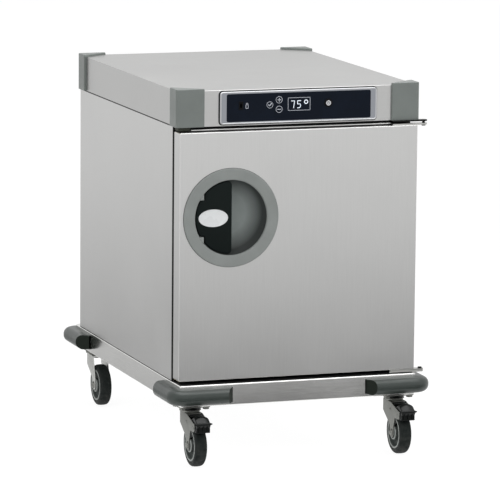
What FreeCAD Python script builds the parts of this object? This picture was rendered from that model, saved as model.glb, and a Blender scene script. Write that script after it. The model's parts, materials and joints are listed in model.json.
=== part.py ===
import FreeCAD, Part
import math
import os

# Heated banquet trolley: an insulated cabinet with one door, on a bumpered chassis with four castors.
# Millimetres. +Z is up, the door faces -Y, the door hinges are at +X.
# The origin is on the floor, under the middle of the whole trolley.

# Shared clearances
overrun = 5.0
running_gap = 0.3
shaft_clearance = 0.05
slide_clearance = 0.15

# Castors
wheel_diameter = 125.0
wheel_headroom = 14.4
tread_width = 36.0
tyre_thickness = 15.0
tyre_shoulder = 9.0
rim_width = 32.0
rim_thickness = 7.0
web_thickness = 12.0
hub_diameter = 42.0
axle_diameter = 12.0
axle_head_height = 6.0
axle_head_diameter = 19.0
swivel_inset_x = 48.0
swivel_inset_front = 48.0
swivel_inset_rear = 72.0
castor_trail = 42.0
plate_length = 92.0
plate_width = 85.0
plate_thickness = 4.0
plate_corner_radius = 8.0
race_diameter = 58.0
race_height = 9.0
king_pin_diameter = 12.0
king_nut_diameter = 20.0
king_nut_height = 7.0
bolt_diameter = 10.0
bolt_head_width = 17.0
bolt_head_height = 6.0
bolt_edge_x = 11.0
bolt_edge_y = 12.5
fork_side_gap = 3.0
fork_leg_thickness = 3.0
fork_leg_width = 28.0
crown_thickness = 4.0
crown_front = 34.0
crown_rear = 28.0
lower_race_height = 8.0
leg_shoulder_drop = 34.0
leg_neck_rise = 20.0
leg_corner_radius = 6.0
notch_step = 8.0

# Brake pedals of the front castors
pedal_overhang = 15.5
pedal_pivot_setback = 14.5
pedal_pivot_drop = 4.0
pedal_pin_diameter = 7.0
pedal_lobe_radius = 12.0
pedal_heel_reach = 36.0
pedal_heel_rise = 14.5
pedal_dome_behind = 12.0
pedal_dome_ahead = 8.0
pedal_dome_rise = 33.5
pedal_lip_rise = 9.5
pedal_lip_height = 8.0
pedal_lip_depth = 7.0
pedal_lip_length = 14.0
pedal_lip_width = 54.0
pedal_skirt_drop = 12.5
pedal_corner_radius = 4.0
brake_gap = 6.0

# Chassis and bumpers
chassis_width = 716.0
chassis_depth = 1042.0
chassis_height = 62.0
chassis_wall = 2.5
chassis_flange = 50.0
chassis_rear_rest = 24.0
chassis_corner_plate = 122.0
chassis_corner_radius = 10.0
bumper_reach = 39.0
bumper_height = 44.0
bumper_leg = 156.0
bumper_nose_radius = 20.0
bumper_end_slant = 23.0
bumper_end_radius = 6.0

# Cabinet
cabinet_height = 731.0
cabinet_rear_setback = 50.0
cabinet_sheet = 1.2
front_frame_sheet = 2.0
insulation_thickness = 45.0
liner_sheet = 1.0

# Rack guides
rack_pitch = 74.0
rack_first_level = 62.0
rack_headroom = 60.0
rack_standoff = 45.0
rack_end_gap = 93.0
rack_ledge = 22.0
rack_rail_height = 16.0
rack_sheet = 2.0
rack_post_thickness = 3.0
rack_post_count = 3

# Lid
lid_seam = 3.0
lid_height = 102.0
lid_front_overhang = 44.0
lid_rear_setback = 8.0
lid_sheet = 1.2
lid_flange = 24.0
lid_seam_recess = 5.0
lid_rim_width = 12.0
cap_proud = 8.0
cap_rise = 6.0
cap_leg_x = 84.0
cap_leg_y = 62.0
cap_corner_radius = 7.0
cap_edge_radius = 2.5

# Control panel
bezel_end_gap = 118.0
bezel_margin = 4.5
bezel_thickness = 8.0
bezel_corner_radius = 9.0
bezel_back_thickness = 3.0
glass_margin_x = 23.5
glass_margin_z = 7.0
glass_corner_radius = 5.0
glass_recess = 0.8
panel_cutout_margin = 12.0
key_line_rise = 6.0
key_proud = 1.0
key_board_gap = 3.0
key_edge_radius = 0.6
select_key_x = -88.0
select_key_diameter = 20.0
step_key_x = -60.0
step_key_diameter = 13.0
step_key_spacing = 27.0
power_key_x = 88.0
power_key_diameter = 15.0
power_key_proud = 3.0
usb_inset = 42.5
usb_width = 13.0
usb_height = 24.0
usb_proud = 0.6
usb_slot_width = 5.6
usb_slot_height = 13.0
usb_slot_depth = 12.0
board_gap = 1.5
board_thickness = 1.6
board_standoff = 18.0
standoff_diameter = 6.0

# Hot air unit under the cabinet roof
motor_diameter = 96.0
motor_height = 70.0
motor_flange_diameter = 130.0
motor_flange_thickness = 4.0
shaft_diameter = 10.0
shaft_grip = 40.0
shaft_hole_diameter = 18.0
impeller_diameter = 150.0
impeller_plate = 2.0
impeller_hub_diameter = 34.0
impeller_drop = 14.0
blade_count = 8
blade_height = 30.0
blade_thickness = 2.0
heater_clearance = 35.0
heater_tube_diameter = 8.0
heater_drop = 28.0
heater_leg_diameter = 6.0
baffle_side_gap = 43.0
baffle_end_gap = 193.0
baffle_clearance = 16.0
baffle_sheet = 1.5
baffle_inlet_diameter = 130.0

# Mains inlet at the rear
inlet_width = 52.0
inlet_height = 36.0
inlet_flange = 3.0
inlet_depth = 26.0
inlet_body_margin = 6.0
inlet_recess_width = 28.0
inlet_recess_height = 20.0
inlet_recess_depth = 18.0
inlet_pin_width = 2.0
inlet_pin_height = 5.0
inlet_pin_length = 14.0
inlet_pin_spacing = 7.0
inlet_pin_drop = 4.0
inlet_rise = 52.0
inlet_inset = 118.0

# Door
door_thickness = 50.0
door_front_setback = 17.0
door_bottom_gap = 9.0
door_top_gap = 11.0
door_sheet = 1.2
door_edge_radius = 2.0
gasket_gap = 12.0
gasket_width = 14.0
gasket_latch_gap = 2.2
hinge_axis_outboard = 22.0
hinge_axis_behind = 12.0
hinge_pin_diameter = 8.0
hinge_pin_head_diameter = 12.0
hinge_pin_head_height = 3.0
hinge_plate_thickness = 4.0
hinge_plate_gap = 0.5
hinge_plate_width = 20.0
hinge_plate_tail = 75.0
hinge_arm_thickness = 4.5

# Door handle and latch
handle_inset = 153.0
handle_drop = 245.0
ring_diameter = 283.0
ring_inner_diameter = 215.0
ring_proud = 5.0
ring_edge_radius = 3.5
cup_back_gap = 10.0
cup_wall = 2.5
cup_bottom_radius = 20.0
lever_clearance = 3.5
lever_thickness = 9.0
lever_setback = 2.0
lever_edge_radius = 2.5
pivot_inset = 18.5
pivot_setback = 8.0
lug_width = 22.0
lug_height = 24.0
lug_seat = 13.3
lug_depth = 22.0
lug_edge_radius = 4.0
lever_tab_overhang = 20.0
lever_corner_radius = 12.0
latch_pin_diameter = 6.0
latch_pin_grip = 12.0
tail_end_gap = 1.0
tail_width = 6.0
tail_height = 14.0
bolt_bar_thickness = 5.0
bolt_bar_height = 20.0
bolt_bar_setback = 14.0
bolt_bar_end = 12.0
bolt_slot_play = 1.2
bolt_travel = 6.8
nose_inset = 9.0
nose_width = 8.0
nose_height = 14.0
nose_reach = 13.0
hook_depth = 3.0
hook_thickness = 4.5
pocket_clearance = 2.0
keeper_thickness = 1.2
keeper_height = 12.0

# Places worked out from the sizes above: castors, from the wheel up
wheel_radius = wheel_diameter / 2
axle_radius = axle_diameter / 2
king_nut_bottom = wheel_diameter + wheel_headroom
king_nut_top = king_nut_bottom + king_nut_height
crown_bottom = king_nut_top + running_gap
crown_top = crown_bottom + crown_thickness
lower_race_top = crown_top + lower_race_height
race_bottom = lower_race_top + running_gap
plate_bottom = race_bottom + race_height
castor_height = plate_bottom + plate_thickness
fork_inner = tread_width / 2 + fork_side_gap
fork_outer = fork_inner + fork_leg_thickness
pedal_reach = wheel_radius + pedal_overhang
pedal_pivot_ahead = wheel_radius - pedal_pivot_setback
pedal_pivot_rise = wheel_radius - pedal_pivot_drop

# Chassis, set so that the origin is under the middle of the trolley
half_width = chassis_width / 2
rear_reach = chassis_depth / 2 + bumper_reach
front_reach = max(rear_reach, chassis_depth / 2 - swivel_inset_front + castor_trail + pedal_reach)
mid_y = (front_reach - rear_reach) / 2
chassis_front = mid_y - chassis_depth / 2
chassis_rear = mid_y + chassis_depth / 2
chassis_top = castor_height + chassis_height

# Door, cabinet and lid
door_front = chassis_front + door_front_setback
door_rear = door_front + door_thickness
door_bottom = chassis_top + door_bottom_gap
cabinet_front = door_rear + gasket_gap
cabinet_rear = chassis_rear - cabinet_rear_setback
cabinet_top = chassis_top + cabinet_height
door_top = cabinet_top - door_top_gap
shell_front = cabinet_front + front_frame_sheet
cavity_half = half_width - insulation_thickness
cavity_bottom = chassis_top + insulation_thickness
cavity_top = cabinet_top - insulation_thickness
cavity_rear = cabinet_rear - insulation_thickness
cavity_depth = cavity_rear - shell_front
cavity_middle = shell_front + cavity_depth / 2
lid_bottom = cabinet_top + lid_seam
lid_top = lid_bottom + lid_height
lid_front = cabinet_front - lid_front_overhang
lid_rear = cabinet_rear - lid_rear_setback

# Hot air unit and rack guides
fan_y = cavity_middle
heater_ring_diameter = impeller_diameter + 2 * heater_clearance
baffle_drop = impeller_drop + impeller_plate + blade_height + baffle_clearance
rack_face = cavity_half - rack_standoff
rack_length = cavity_depth - 2 * rack_end_gap
rack_room = cavity_top - baffle_drop - rack_headroom - cavity_bottom - rack_first_level
rack_levels = math.floor(rack_room / rack_pitch) + 1
inlet_x = inlet_inset - half_width
inlet_z = cavity_bottom + inlet_rise

# Control panel
panel_z = lid_bottom + lid_height / 2
key_z = panel_z + key_line_rise
bezel_width = chassis_width - 2 * bezel_end_gap
bezel_height = lid_height - 2 * bezel_margin
glass_width = bezel_width - 2 * glass_margin_x
glass_height = bezel_height - 2 * glass_margin_z
usb_x = usb_inset - glass_width / 2
bezel_front = lid_front - bezel_thickness
glass_front = bezel_front + glass_recess
glass_rear = lid_front - bezel_back_thickness
cutout_half_x = glass_width / 2 - panel_cutout_margin
cutout_half_z = glass_height / 2 - panel_cutout_margin / 2
board_front = lid_front + board_standoff
key_rear = board_front - key_board_gap

# Handle, latch, gasket and hinges
handle_x = -half_width + handle_inset
handle_z = door_top - handle_drop
cup_depth = door_thickness - cup_back_gap
cup_outer_radius = ring_inner_diameter / 2 + cup_wall
pivot_x = handle_x - ring_inner_diameter / 2 + pivot_inset
pivot_y = door_front + pivot_setback
pivot_chord = math.sqrt(pivot_inset * (ring_inner_diameter - pivot_inset))
lug_gap = 2 * (pivot_chord - lug_seat)
bar_front = pivot_y + bolt_bar_setback
bar_rear = bar_front + bolt_bar_thickness
nose_left = -half_width + nose_inset
nose_end = cabinet_front + nose_reach
hook_front = nose_end - hook_thickness
gasket_edge = nose_inset + nose_width + bolt_travel + pocket_clearance + gasket_latch_gap
hinge_x = half_width + hinge_axis_outboard
hinge_y = door_front + hinge_axis_behind

# Each corner: its side (-1 left, 1 right) and its end (-1 front, 1 rear)
corners = {"fl": (-1, -1), "fr": (1, -1), "rl": (-1, 1), "rr": (1, 1)}

# Each key: its centre, its diameter and how far it stands out of the glass
keys = {
    "key_select": (select_key_x, key_z, select_key_diameter, key_proud),
    "key_plus": (step_key_x, key_z + step_key_spacing / 2, step_key_diameter, key_proud),
    "key_minus": (step_key_x, key_z - step_key_spacing / 2, step_key_diameter, key_proud),
    "key_power": (power_key_x, key_z, power_key_diameter, power_key_proud),
}


def point(x, y, z):
    """A point in the trolley's frame."""
    return FreeCAD.Vector(x, y, z)


def box(x0, x1, y0, y1, z0, z1):
    """Block between two corners."""
    return Part.makeBox(x1 - x0, y1 - y0, z1 - z0, point(x0, y0, z0))


def rod(radius, start, end):
    """Round bar from one point to another."""
    return Part.makeCylinder(radius, (end - start).Length, start, end - start)


def rounded_wire(corner_points, radii):
    """Closed outline through corner points, each corner rounded by its own radius."""
    count = len(corner_points)
    ends = []
    for i in range(count):
        here = corner_points[i]
        back = (corner_points[i - 1] - here).normalize()
        ahead = (corner_points[(i + 1) % count] - here).normalize()
        if radii[i] == 0:
            ends.append((here, here, here))
            continue
        half_angle = back.getAngle(ahead) / 2
        middle = (back + ahead).normalize()
        reach = radii[i] / math.tan(half_angle)
        centre = here + middle * (radii[i] / math.sin(half_angle))
        ends.append((here + back * reach, centre - middle * radii[i], here + ahead * reach))
    edges = []
    for i in range(count):
        start, through, end = ends[i]
        if radii[i] > 0:
            edges.append(Part.Arc(start, through, end).toShape())
        following = ends[(i + 1) % count][0]
        edges.append(Part.LineSegment(end, following).toShape())
    return Part.Wire(edges)


def slab(axis, low, high, outline, radii=0):
    """Rounded outline across an axis ("x", "y" or "z"), drawn out along it from low to high."""
    place = {
        "x": lambda u, v: point(low, u, v),
        "y": lambda u, v: point(u, low, v),
        "z": lambda u, v: point(u, v, low),
    }[axis]
    direction = {"x": point(1, 0, 0), "y": point(0, 1, 0), "z": point(0, 0, 1)}[axis]
    if not isinstance(radii, (list, tuple)):
        radii = [radii] * len(outline)
    wire = rounded_wire([place(u, v) for u, v in outline], radii)
    return Part.Face(wire).extrude(direction * (high - low))


def rectangle(u0, u1, v0, v1):
    """Corner points of a rectangle."""
    return [(u0, v0), (u1, v0), (u1, v1), (u0, v1)]


def turned_x(profile, y, z, radii=0):
    """Profile of (x, radius) points, turned about an axis along X through y and z."""
    if not isinstance(radii, (list, tuple)):
        radii = [radii] * len(profile)
    wire = rounded_wire([point(x, y, z + r) for x, r in profile], radii)
    return Part.Face(wire).revolve(point(0, y, z), point(1, 0, 0), 360)


def turned_y(profile, x, z, radii=0):
    """Profile of (radius, y) points, turned about an axis along Y through x and z."""
    if not isinstance(radii, (list, tuple)):
        radii = [radii] * len(profile)
    wire = rounded_wire([point(x + r, y, z) for r, y in profile], radii)
    return Part.Face(wire).revolve(point(x, 0, z), point(0, 1, 0), 360)


def fused(pieces):
    """One solid from touching or overlapping pieces."""
    return pieces[0].multiFuse(pieces[1:]).removeSplitter()


def hexagon(axis_x, axis_y, width):
    """Corner points of a hexagon by its width across flats."""
    radius = width / math.sqrt(3)
    turns = [math.radians(60 * i) for i in range(6)]
    return [(axis_x + radius * math.cos(t), axis_y + radius * math.sin(t)) for t in turns]


def save(name, shapes):
    """Write one node: one solid, or a group of separate solids."""
    solids = [solid for shape in shapes for solid in shape.Solids]
    whole = solids[0] if len(solids) == 1 else Part.makeCompound(solids)
    whole.exportStep("parts/" + name + ".step")


# Castors

def swivel_place(corner):
    """Swivel axis of one castor."""
    side, end = corners[corner]
    x = side * (half_width - swivel_inset_x)
    inset = swivel_inset_front if end < 0 else swivel_inset_rear
    return x, mid_y + end * (chassis_depth / 2 - inset)


def bolt_places(corner):
    """Bolt axes of one castor's top plate."""
    x, y = swivel_place(corner)
    step_x = plate_length / 2 - bolt_edge_x
    step_y = plate_width / 2 - bolt_edge_y
    return [(x + i * step_x, y + j * step_y) for i in (-1, 1) for j in (-1, 1)]


def castor_plate(corner):
    """Top plate with the upper race and the king pin with its nut."""
    x, y = swivel_place(corner)
    outline = rectangle(x - plate_length / 2, x + plate_length / 2, y - plate_width / 2, y + plate_width / 2)
    plate = slab("z", plate_bottom, castor_height, outline, plate_corner_radius)
    for bolt_x, bolt_y in bolt_places(corner):
        hole = rod(bolt_diameter / 2, point(bolt_x, bolt_y, plate_bottom - overrun),
                   point(bolt_x, bolt_y, castor_height + overrun))
        plate = plate.cut(hole)
    race = rod(race_diameter / 2, point(x, y, race_bottom), point(x, y, plate_bottom))
    pin = rod(king_pin_diameter / 2, point(x, y, king_nut_top), point(x, y, race_bottom))
    nut = rod(king_nut_diameter / 2, point(x, y, king_nut_bottom), point(x, y, king_nut_top))
    return fused([plate, race, pin, nut])


def castor_bolts(corner):
    """Bolts of one top plate: head under the plate, nut inside the chassis channel."""
    bolts = []
    nut_bottom = castor_height + chassis_wall
    for x, y in bolt_places(corner):
        outline = hexagon(x, y, bolt_head_width)
        head = slab("z", plate_bottom - bolt_head_height, plate_bottom, outline)
        nut = slab("z", nut_bottom, nut_bottom + bolt_head_height, outline)
        shank = rod(bolt_diameter / 2, point(x, y, plate_bottom), point(x, y, nut_bottom))
        bolts.append(fused([head, shank, nut]))
    return bolts


def leg_outline(y, braked):
    """Side outline of a fork leg, in (y, z), with the radius of each corner."""
    axle_y = y - castor_trail
    leg_half = fork_leg_width / 2
    toe = wheel_radius - leg_half
    neck = wheel_radius + leg_neck_rise
    outline = [(y + crown_rear, crown_top), (y - crown_front, crown_top)]
    radii = [0, leg_corner_radius]
    if braked:
        pivot_front = axle_y - pedal_pivot_ahead - pedal_lobe_radius
        pivot_z = wheel_radius + pedal_pivot_rise
        notch_y = axle_y - leg_half - notch_step
        outline += [(pivot_front, pivot_z + pedal_lobe_radius), (pivot_front, pivot_z - pedal_lobe_radius)]
        outline += [(notch_y, pivot_z - pedal_lobe_radius), (axle_y - leg_half, neck)]
        radii += [pedal_lobe_radius - running_gap] * 2 + [leg_corner_radius / 2, leg_corner_radius]
    else:
        outline += [(axle_y - leg_half, neck)]
        radii += [leg_corner_radius]
    outline += [(axle_y - leg_half, toe), (axle_y + leg_half, toe)]
    outline += [(axle_y + leg_half, neck), (y + crown_rear, crown_top - leg_shoulder_drop)]
    radii += [leg_half - running_gap] * 2 + [leg_corner_radius] * 2
    return outline, radii


def castor_fork(corner, braked):
    """Pressed fork with its lower race, and the axle bolt and pedal pin that it carries."""
    x, y = swivel_place(corner)
    axle_y = y - castor_trail
    outline, radii = leg_outline(y, braked)
    legs = [slab("x", x - fork_outer, x - fork_inner, outline, radii)]
    legs.append(slab("x", x + fork_inner, x + fork_outer, outline, radii))
    crown = box(x - fork_outer, x + fork_outer, y - crown_front, y + crown_rear, crown_bottom, crown_top)
    race = rod(race_diameter / 2, point(x, y, crown_top), point(x, y, lower_race_top))
    fork = fused(legs + [crown, race])
    pin_hole = rod(king_pin_diameter / 2 + shaft_clearance, point(x, y, crown_bottom - overrun),
                   point(x, y, lower_race_top + overrun))
    axle_low = point(x - fork_outer, axle_y, wheel_radius)
    axle_high = point(x + fork_outer, axle_y, wheel_radius)
    axle = rod(axle_radius, axle_low, axle_high)
    fork = fork.cut(pin_hole).cut(axle)
    head_step = point(axle_head_height, 0, 0)
    head = rod(axle_head_diameter / 2, axle_low - head_step, axle_low)
    nut_outline = hexagon(axle_y, wheel_radius, axle_head_diameter)
    nut = slab("x", x + fork_outer, x + fork_outer + axle_head_height, nut_outline)
    solids = [fused([axle, head, nut])]
    if braked:
        pivot_y = axle_y - pedal_pivot_ahead
        pivot_z = wheel_radius + pedal_pivot_rise
        pin = rod(pedal_pin_diameter / 2, point(x - fork_outer, pivot_y, pivot_z),
                  point(x + fork_outer, pivot_y, pivot_z))
        fork = fork.cut(pin)
        solids.append(pin)
    return [fork] + solids


def castor_wheel(corner):
    """Wheel core: rim, web and hub, bored for the axle."""
    x, y = swivel_place(corner)
    axle_y = y - castor_trail
    rim_outer = wheel_radius - tyre_thickness
    rim_inner = rim_outer - rim_thickness
    bore = axle_radius + shaft_clearance
    hub_half = fork_inner - running_gap
    profile = [(x - hub_half, bore), (x - hub_half, hub_diameter / 2)]
    profile += [(x - web_thickness / 2, hub_diameter / 2), (x - web_thickness / 2, rim_inner)]
    profile += [(x - rim_width / 2, rim_inner), (x - rim_width / 2, rim_outer)]
    mirrored = [(2 * x - u, v) for u, v in reversed(profile)]
    return turned_x(profile + mirrored, axle_y, wheel_radius)


def castor_tyre(corner):
    """Rubber tyre with rounded shoulders."""
    x, y = swivel_place(corner)
    rim_outer = wheel_radius - tyre_thickness
    half = tread_width / 2
    profile = [(x - half, rim_outer), (x - half, wheel_radius)]
    profile += [(x + half, wheel_radius), (x + half, rim_outer)]
    return turned_x(profile, y - castor_trail, wheel_radius, [0, tyre_shoulder, tyre_shoulder, 0])


def castor_brake(corner):
    """Brake pedal: a domed hood over the tyre with a wide lip, hung on its pin between the fork legs."""
    x, y = swivel_place(corner)
    axle_y = y - castor_trail
    pivot_y = axle_y - pedal_pivot_ahead
    pivot_z = wheel_radius + pedal_pivot_rise
    half = fork_inner - running_gap
    front = axle_y - pedal_reach
    skirt_front = front + pedal_lip_depth
    heel = pivot_y + pedal_heel_reach
    top = pivot_z + pedal_dome_rise
    skirt_bottom = pivot_z - pedal_skirt_drop
    lip_bottom = pivot_z + pedal_lip_rise
    lip_top = lip_bottom + pedal_lip_height
    outline = [(heel, pivot_z + pedal_heel_rise), (pivot_y + pedal_dome_behind, top)]
    outline += [(pivot_y - pedal_dome_ahead, top), (front, lip_top), (front, lip_bottom)]
    outline += [(skirt_front, lip_bottom - pedal_lip_depth), (skirt_front, skirt_bottom)]
    outline += [(pivot_y, skirt_bottom), (heel, pivot_z)]
    radii = [pedal_corner_radius / 2, pedal_corner_radius * 2, pedal_corner_radius * 2]
    radii += [pedal_corner_radius / 2, pedal_corner_radius / 2, 0, pedal_corner_radius / 2, 0, 0]
    hood = slab("x", x - half, x + half, outline, radii)
    lip = box(x - pedal_lip_width / 2, x + pedal_lip_width / 2, front, front + pedal_lip_length,
              lip_bottom, lip_top)
    pedal = fused([hood, lip])
    sweep = rod(wheel_radius + brake_gap, point(x - half - overrun, axle_y, wheel_radius),
                point(x + half + overrun, axle_y, wheel_radius))
    bore = rod(pedal_pin_diameter / 2 + shaft_clearance, point(x - half - overrun, pivot_y, pivot_z),
               point(x + half + overrun, pivot_y, pivot_z))
    return pedal.cut(sweep).cut(bore)


# Chassis and bumpers

def chassis_frame():
    """Ring of folded channel, open inwards, with a plate in each corner for a castor."""
    wall = chassis_wall
    outer = rectangle(-half_width, half_width, chassis_front, chassis_rear)
    frame = slab("z", castor_height, chassis_top, outer, chassis_corner_radius)
    hollow = rectangle(-half_width + wall, half_width - wall, chassis_front + wall, chassis_rear - wall)
    inner_radius = chassis_corner_radius - wall
    frame = frame.cut(slab("z", castor_height + wall, chassis_top - wall, hollow, inner_radius))
    inner_x = half_width - chassis_flange
    inner_y = chassis_depth / 2 - chassis_flange
    plate_x = half_width - chassis_corner_plate
    plate_y = chassis_depth / 2 - chassis_corner_plate
    cuts = [box(-inner_x, inner_x, shell_front + chassis_flange, cabinet_rear - chassis_rear_rest,
                chassis_top - wall - overrun, chassis_top + overrun)]
    low = castor_height - overrun
    high = castor_height + wall + overrun
    cuts.append(box(-inner_x, inner_x, mid_y - plate_y, mid_y + plate_y, low, high))
    cuts.append(box(-plate_x, plate_x, mid_y - inner_y, mid_y + inner_y, low, high))
    for corner in corners:
        for x, y in bolt_places(corner):
            cuts.append(rod(bolt_diameter / 2, point(x, y, low), point(x, y, high)))
    return frame.cut(cuts)


def bumper(corner):
    """Rubber corner bumper: a bullnose section round the chassis corner, with slanting ends."""
    side, end = corners[corner]
    middle = castor_height + chassis_height / 2
    low = middle - bumper_height / 2
    high = middle + bumper_height / 2
    centre_x = half_width - chassis_corner_radius
    centre_y = chassis_depth / 2 - chassis_corner_radius
    leg_x = half_width - bumper_leg
    leg_y = chassis_depth / 2 - bumper_leg
    outer_x = half_width + bumper_reach
    outer_y = chassis_depth / 2 + bumper_reach
    radii = [0, bumper_nose_radius, bumper_nose_radius, 0]
    along_x = slab("x", leg_x, centre_x, rectangle(chassis_depth / 2, outer_y, low, high), radii)
    along_y = slab("y", leg_y, centre_y, rectangle(half_width, outer_x, low, high), radii)
    section = [point(u, centre_y, v) for u, v in rectangle(half_width, outer_x, low, high)]
    bend = Part.Face(rounded_wire(section, radii))
    bend = bend.revolve(point(centre_x, centre_y, 0), point(0, 0, 1), 90)
    whole = fused([along_x, along_y, bend])
    outline = [(half_width, centre_y), (half_width, leg_y), (outer_x, leg_y + bumper_end_slant)]
    outline += [(outer_x, outer_y), (leg_x + bumper_end_slant, outer_y)]
    outline += [(leg_x, chassis_depth / 2), (centre_x, chassis_depth / 2)]
    ends = [0, 0, bumper_end_radius, 0, bumper_end_radius, 0, 0]
    whole = whole.common(slab("z", low - overrun, high + overrun, outline, ends))
    if side < 0:
        whole = whole.mirror(point(0, 0, 0), point(1, 0, 0))
    if end < 0:
        whole = whole.mirror(point(0, 0, 0), point(0, 1, 0))
    whole.translate(point(0, mid_y, 0))
    return whole


# Cabinet

def cavity(front, grow):
    """Block of the cavity's shape, running forward to front and grown on its five closed sides."""
    half = cavity_half + grow
    return box(-half, half, front, cavity_rear + grow, cavity_bottom - grow, cavity_top + grow)


def side_panel(side):
    """Flat side sheet, from the front frame to the rear edge."""
    outer = side * half_width
    inner = side * (half_width - cabinet_sheet)
    return box(min(outer, inner), max(outer, inner), shell_front, cabinet_rear, chassis_top, cabinet_top)


def latch_opening(front, rear):
    """Slot for the latch nose, at the door's free edge."""
    half = nose_height / 2 + pocket_clearance
    return box(nose_left - pocket_clearance, nose_left + nose_width + bolt_travel + pocket_clearance,
               front, rear, handle_z - half, handle_z + half)


def front_frame():
    """Flat ring that closes the wall between the outer panels and the liner, and takes the door gasket."""
    ring = box(-half_width, half_width, cabinet_front, shell_front, chassis_top, cabinet_top)
    ring = ring.cut(cavity(cabinet_front - overrun, 0))
    return ring.cut(latch_opening(cabinet_front - overrun, shell_front + overrun))


def wall_inside():
    """Space inside the outer panels."""
    half = half_width - cabinet_sheet
    return box(-half, half, shell_front, cabinet_rear - cabinet_sheet, chassis_top + cabinet_sheet,
               cabinet_top - cabinet_sheet)


def shaft_hole():
    """Clearance hole for the fan shaft, down through the roof."""
    return rod(shaft_hole_diameter / 2, point(0, fan_y, cavity_top - overrun), point(0, fan_y, lid_bottom))


def inner_liner():
    """Folded liner of the cavity, open at the door."""
    shell = cavity(shell_front, liner_sheet).cut(cavity(shell_front - overrun, 0))
    return shell.cut(shaft_hole())


def body_insulation():
    """Insulation between the outer panels and the liner, with pockets for the latch and the inlet."""
    filling = wall_inside().cut(cavity(shell_front - overrun, liner_sheet))
    pocket_rear = nose_end + pocket_clearance
    filling = filling.cut(latch_opening(shell_front - overrun, pocket_rear)).cut(keeper_room())
    return filling.cut(shaft_hole()).cut(inlet_room())


def keeper_room():
    """Space that the spring keeper takes up beside the latch slot."""
    half = keeper_height / 2 + pocket_clearance
    return box(-half_width + cabinet_sheet, nose_left, shell_front - overrun, nose_end + pocket_clearance,
               handle_z - half, handle_z + half)


def latch_keeper():
    """Leaf keeper on the left panel: its tongue lies in the latch nose's notch."""
    rear = hook_front - running_gap
    tongue_tip = nose_left + hook_depth - running_gap
    half = keeper_height / 2
    root = -half_width + cabinet_sheet
    tongue = box(root, tongue_tip, rear - keeper_thickness, rear, handle_z - half, handle_z + half)
    foot = box(root, root + keeper_thickness, shell_front, rear, handle_z - half, handle_z + half)
    return fused([tongue, foot])


def rear_panel():
    """Rear sheet between the side panels, cut for the mains inlet."""
    half = half_width - cabinet_sheet
    sheet = box(-half, half, cabinet_rear - cabinet_sheet, cabinet_rear, chassis_top, cabinet_top)
    return sheet.cut(inlet_room())


def base_panel():
    """Floor sheet of the cabinet, lying on the chassis."""
    half = half_width - cabinet_sheet
    rear = cabinet_rear - cabinet_sheet
    return box(-half, half, shell_front, rear, chassis_top, chassis_top + cabinet_sheet)


def ceiling_panel():
    """Roof sheet of the cabinet, with a rim that carries the lid and leaves the seam under it."""
    half = half_width - cabinet_sheet
    rear = cabinet_rear - cabinet_sheet
    sheet = box(-half, half, shell_front, rear, cabinet_top - cabinet_sheet, cabinet_top)
    rim_half = half_width - lid_seam_recess
    rim_rear = lid_rear - lid_seam_recess
    rim_front = shell_front
    rim = box(-rim_half, rim_half, rim_front, rim_rear, cabinet_top, lid_bottom)
    width = lid_rim_width
    rim = rim.cut(box(-rim_half + width, rim_half - width, rim_front + width, rim_rear - width,
                      cabinet_top - overrun, lid_bottom + overrun))
    return fused([sheet, rim]).cut(shaft_hole())


def rack_guide(side):
    """Side rack: a ledge and a rail on it for each tray, fixed to posts that stand off the liner wall."""
    front = cavity_middle - rack_length / 2
    rear = front + rack_length
    first = cavity_bottom + rack_first_level
    last = first + (rack_levels - 1) * rack_pitch
    solids = []
    for i in range(rack_post_count):
        post_front = front + i * (rack_length - rack_post_thickness) / (rack_post_count - 1)
        solids.append(box(rack_face, cavity_half, post_front, post_front + rack_post_thickness,
                          cavity_bottom, last + rack_rail_height))
    for level in range(rack_levels):
        z = first + level * rack_pitch
        upper = z + rack_sheet
        solids.append(box(rack_face - rack_ledge, rack_face, front, rear, z, upper))
        solids.append(box(rack_face - rack_sheet, rack_face, front, rear, upper, z + rack_rail_height))
    if side < 0:
        solids = [solid.mirror(point(0, 0, 0), point(1, 0, 0)) for solid in solids]
    return solids


# Lid

def cap_plan(corner, plan):
    """Plan points, measured in from a cap's outer corner, at their place on the lid."""
    side, end = corners[corner]
    corner_x = half_width + cap_proud
    corner_y = (lid_front if end < 0 else lid_rear) + end * cap_proud
    return [(side * (corner_x - u), corner_y - end * v) for u, v in plan]


def cap_seat(corner):
    """Triangle at a corner of the lid's top sheet that the cap fills."""
    plan = [(cap_proud, cap_proud), (cap_leg_x, cap_proud), (cap_proud, cap_leg_y)]
    return slab("z", lid_top - lid_sheet, lid_top, cap_plan(corner, plan))


def corner_cap(corner):
    """Moulded corner cap: two legs against the lid's faces and a triangular top."""
    plan = [(0, 0), (cap_leg_x, 0), (cap_leg_x, cap_proud), (cap_proud, cap_proud)]
    plan += [(cap_proud, cap_leg_y), (0, cap_leg_y)]
    radii = [cap_corner_radius, cap_edge_radius, 0, 0, 0, cap_edge_radius]
    legs = slab("z", lid_bottom, lid_top, cap_plan(corner, plan), radii)
    plan = [(0, 0), (cap_leg_x, 0), (cap_leg_x, cap_proud), (cap_proud, cap_leg_y), (0, cap_leg_y)]
    radii = [cap_corner_radius, cap_edge_radius, 0, 0, cap_edge_radius]
    top = slab("z", lid_top, lid_top + cap_rise, cap_plan(corner, plan), radii)
    upper = [edge for edge in top.Edges if edge.BoundBox.ZMin > lid_top + cap_rise / 2]
    top = top.makeFillet(cap_edge_radius, upper)
    return fused([legs, cap_seat(corner), top])


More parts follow.
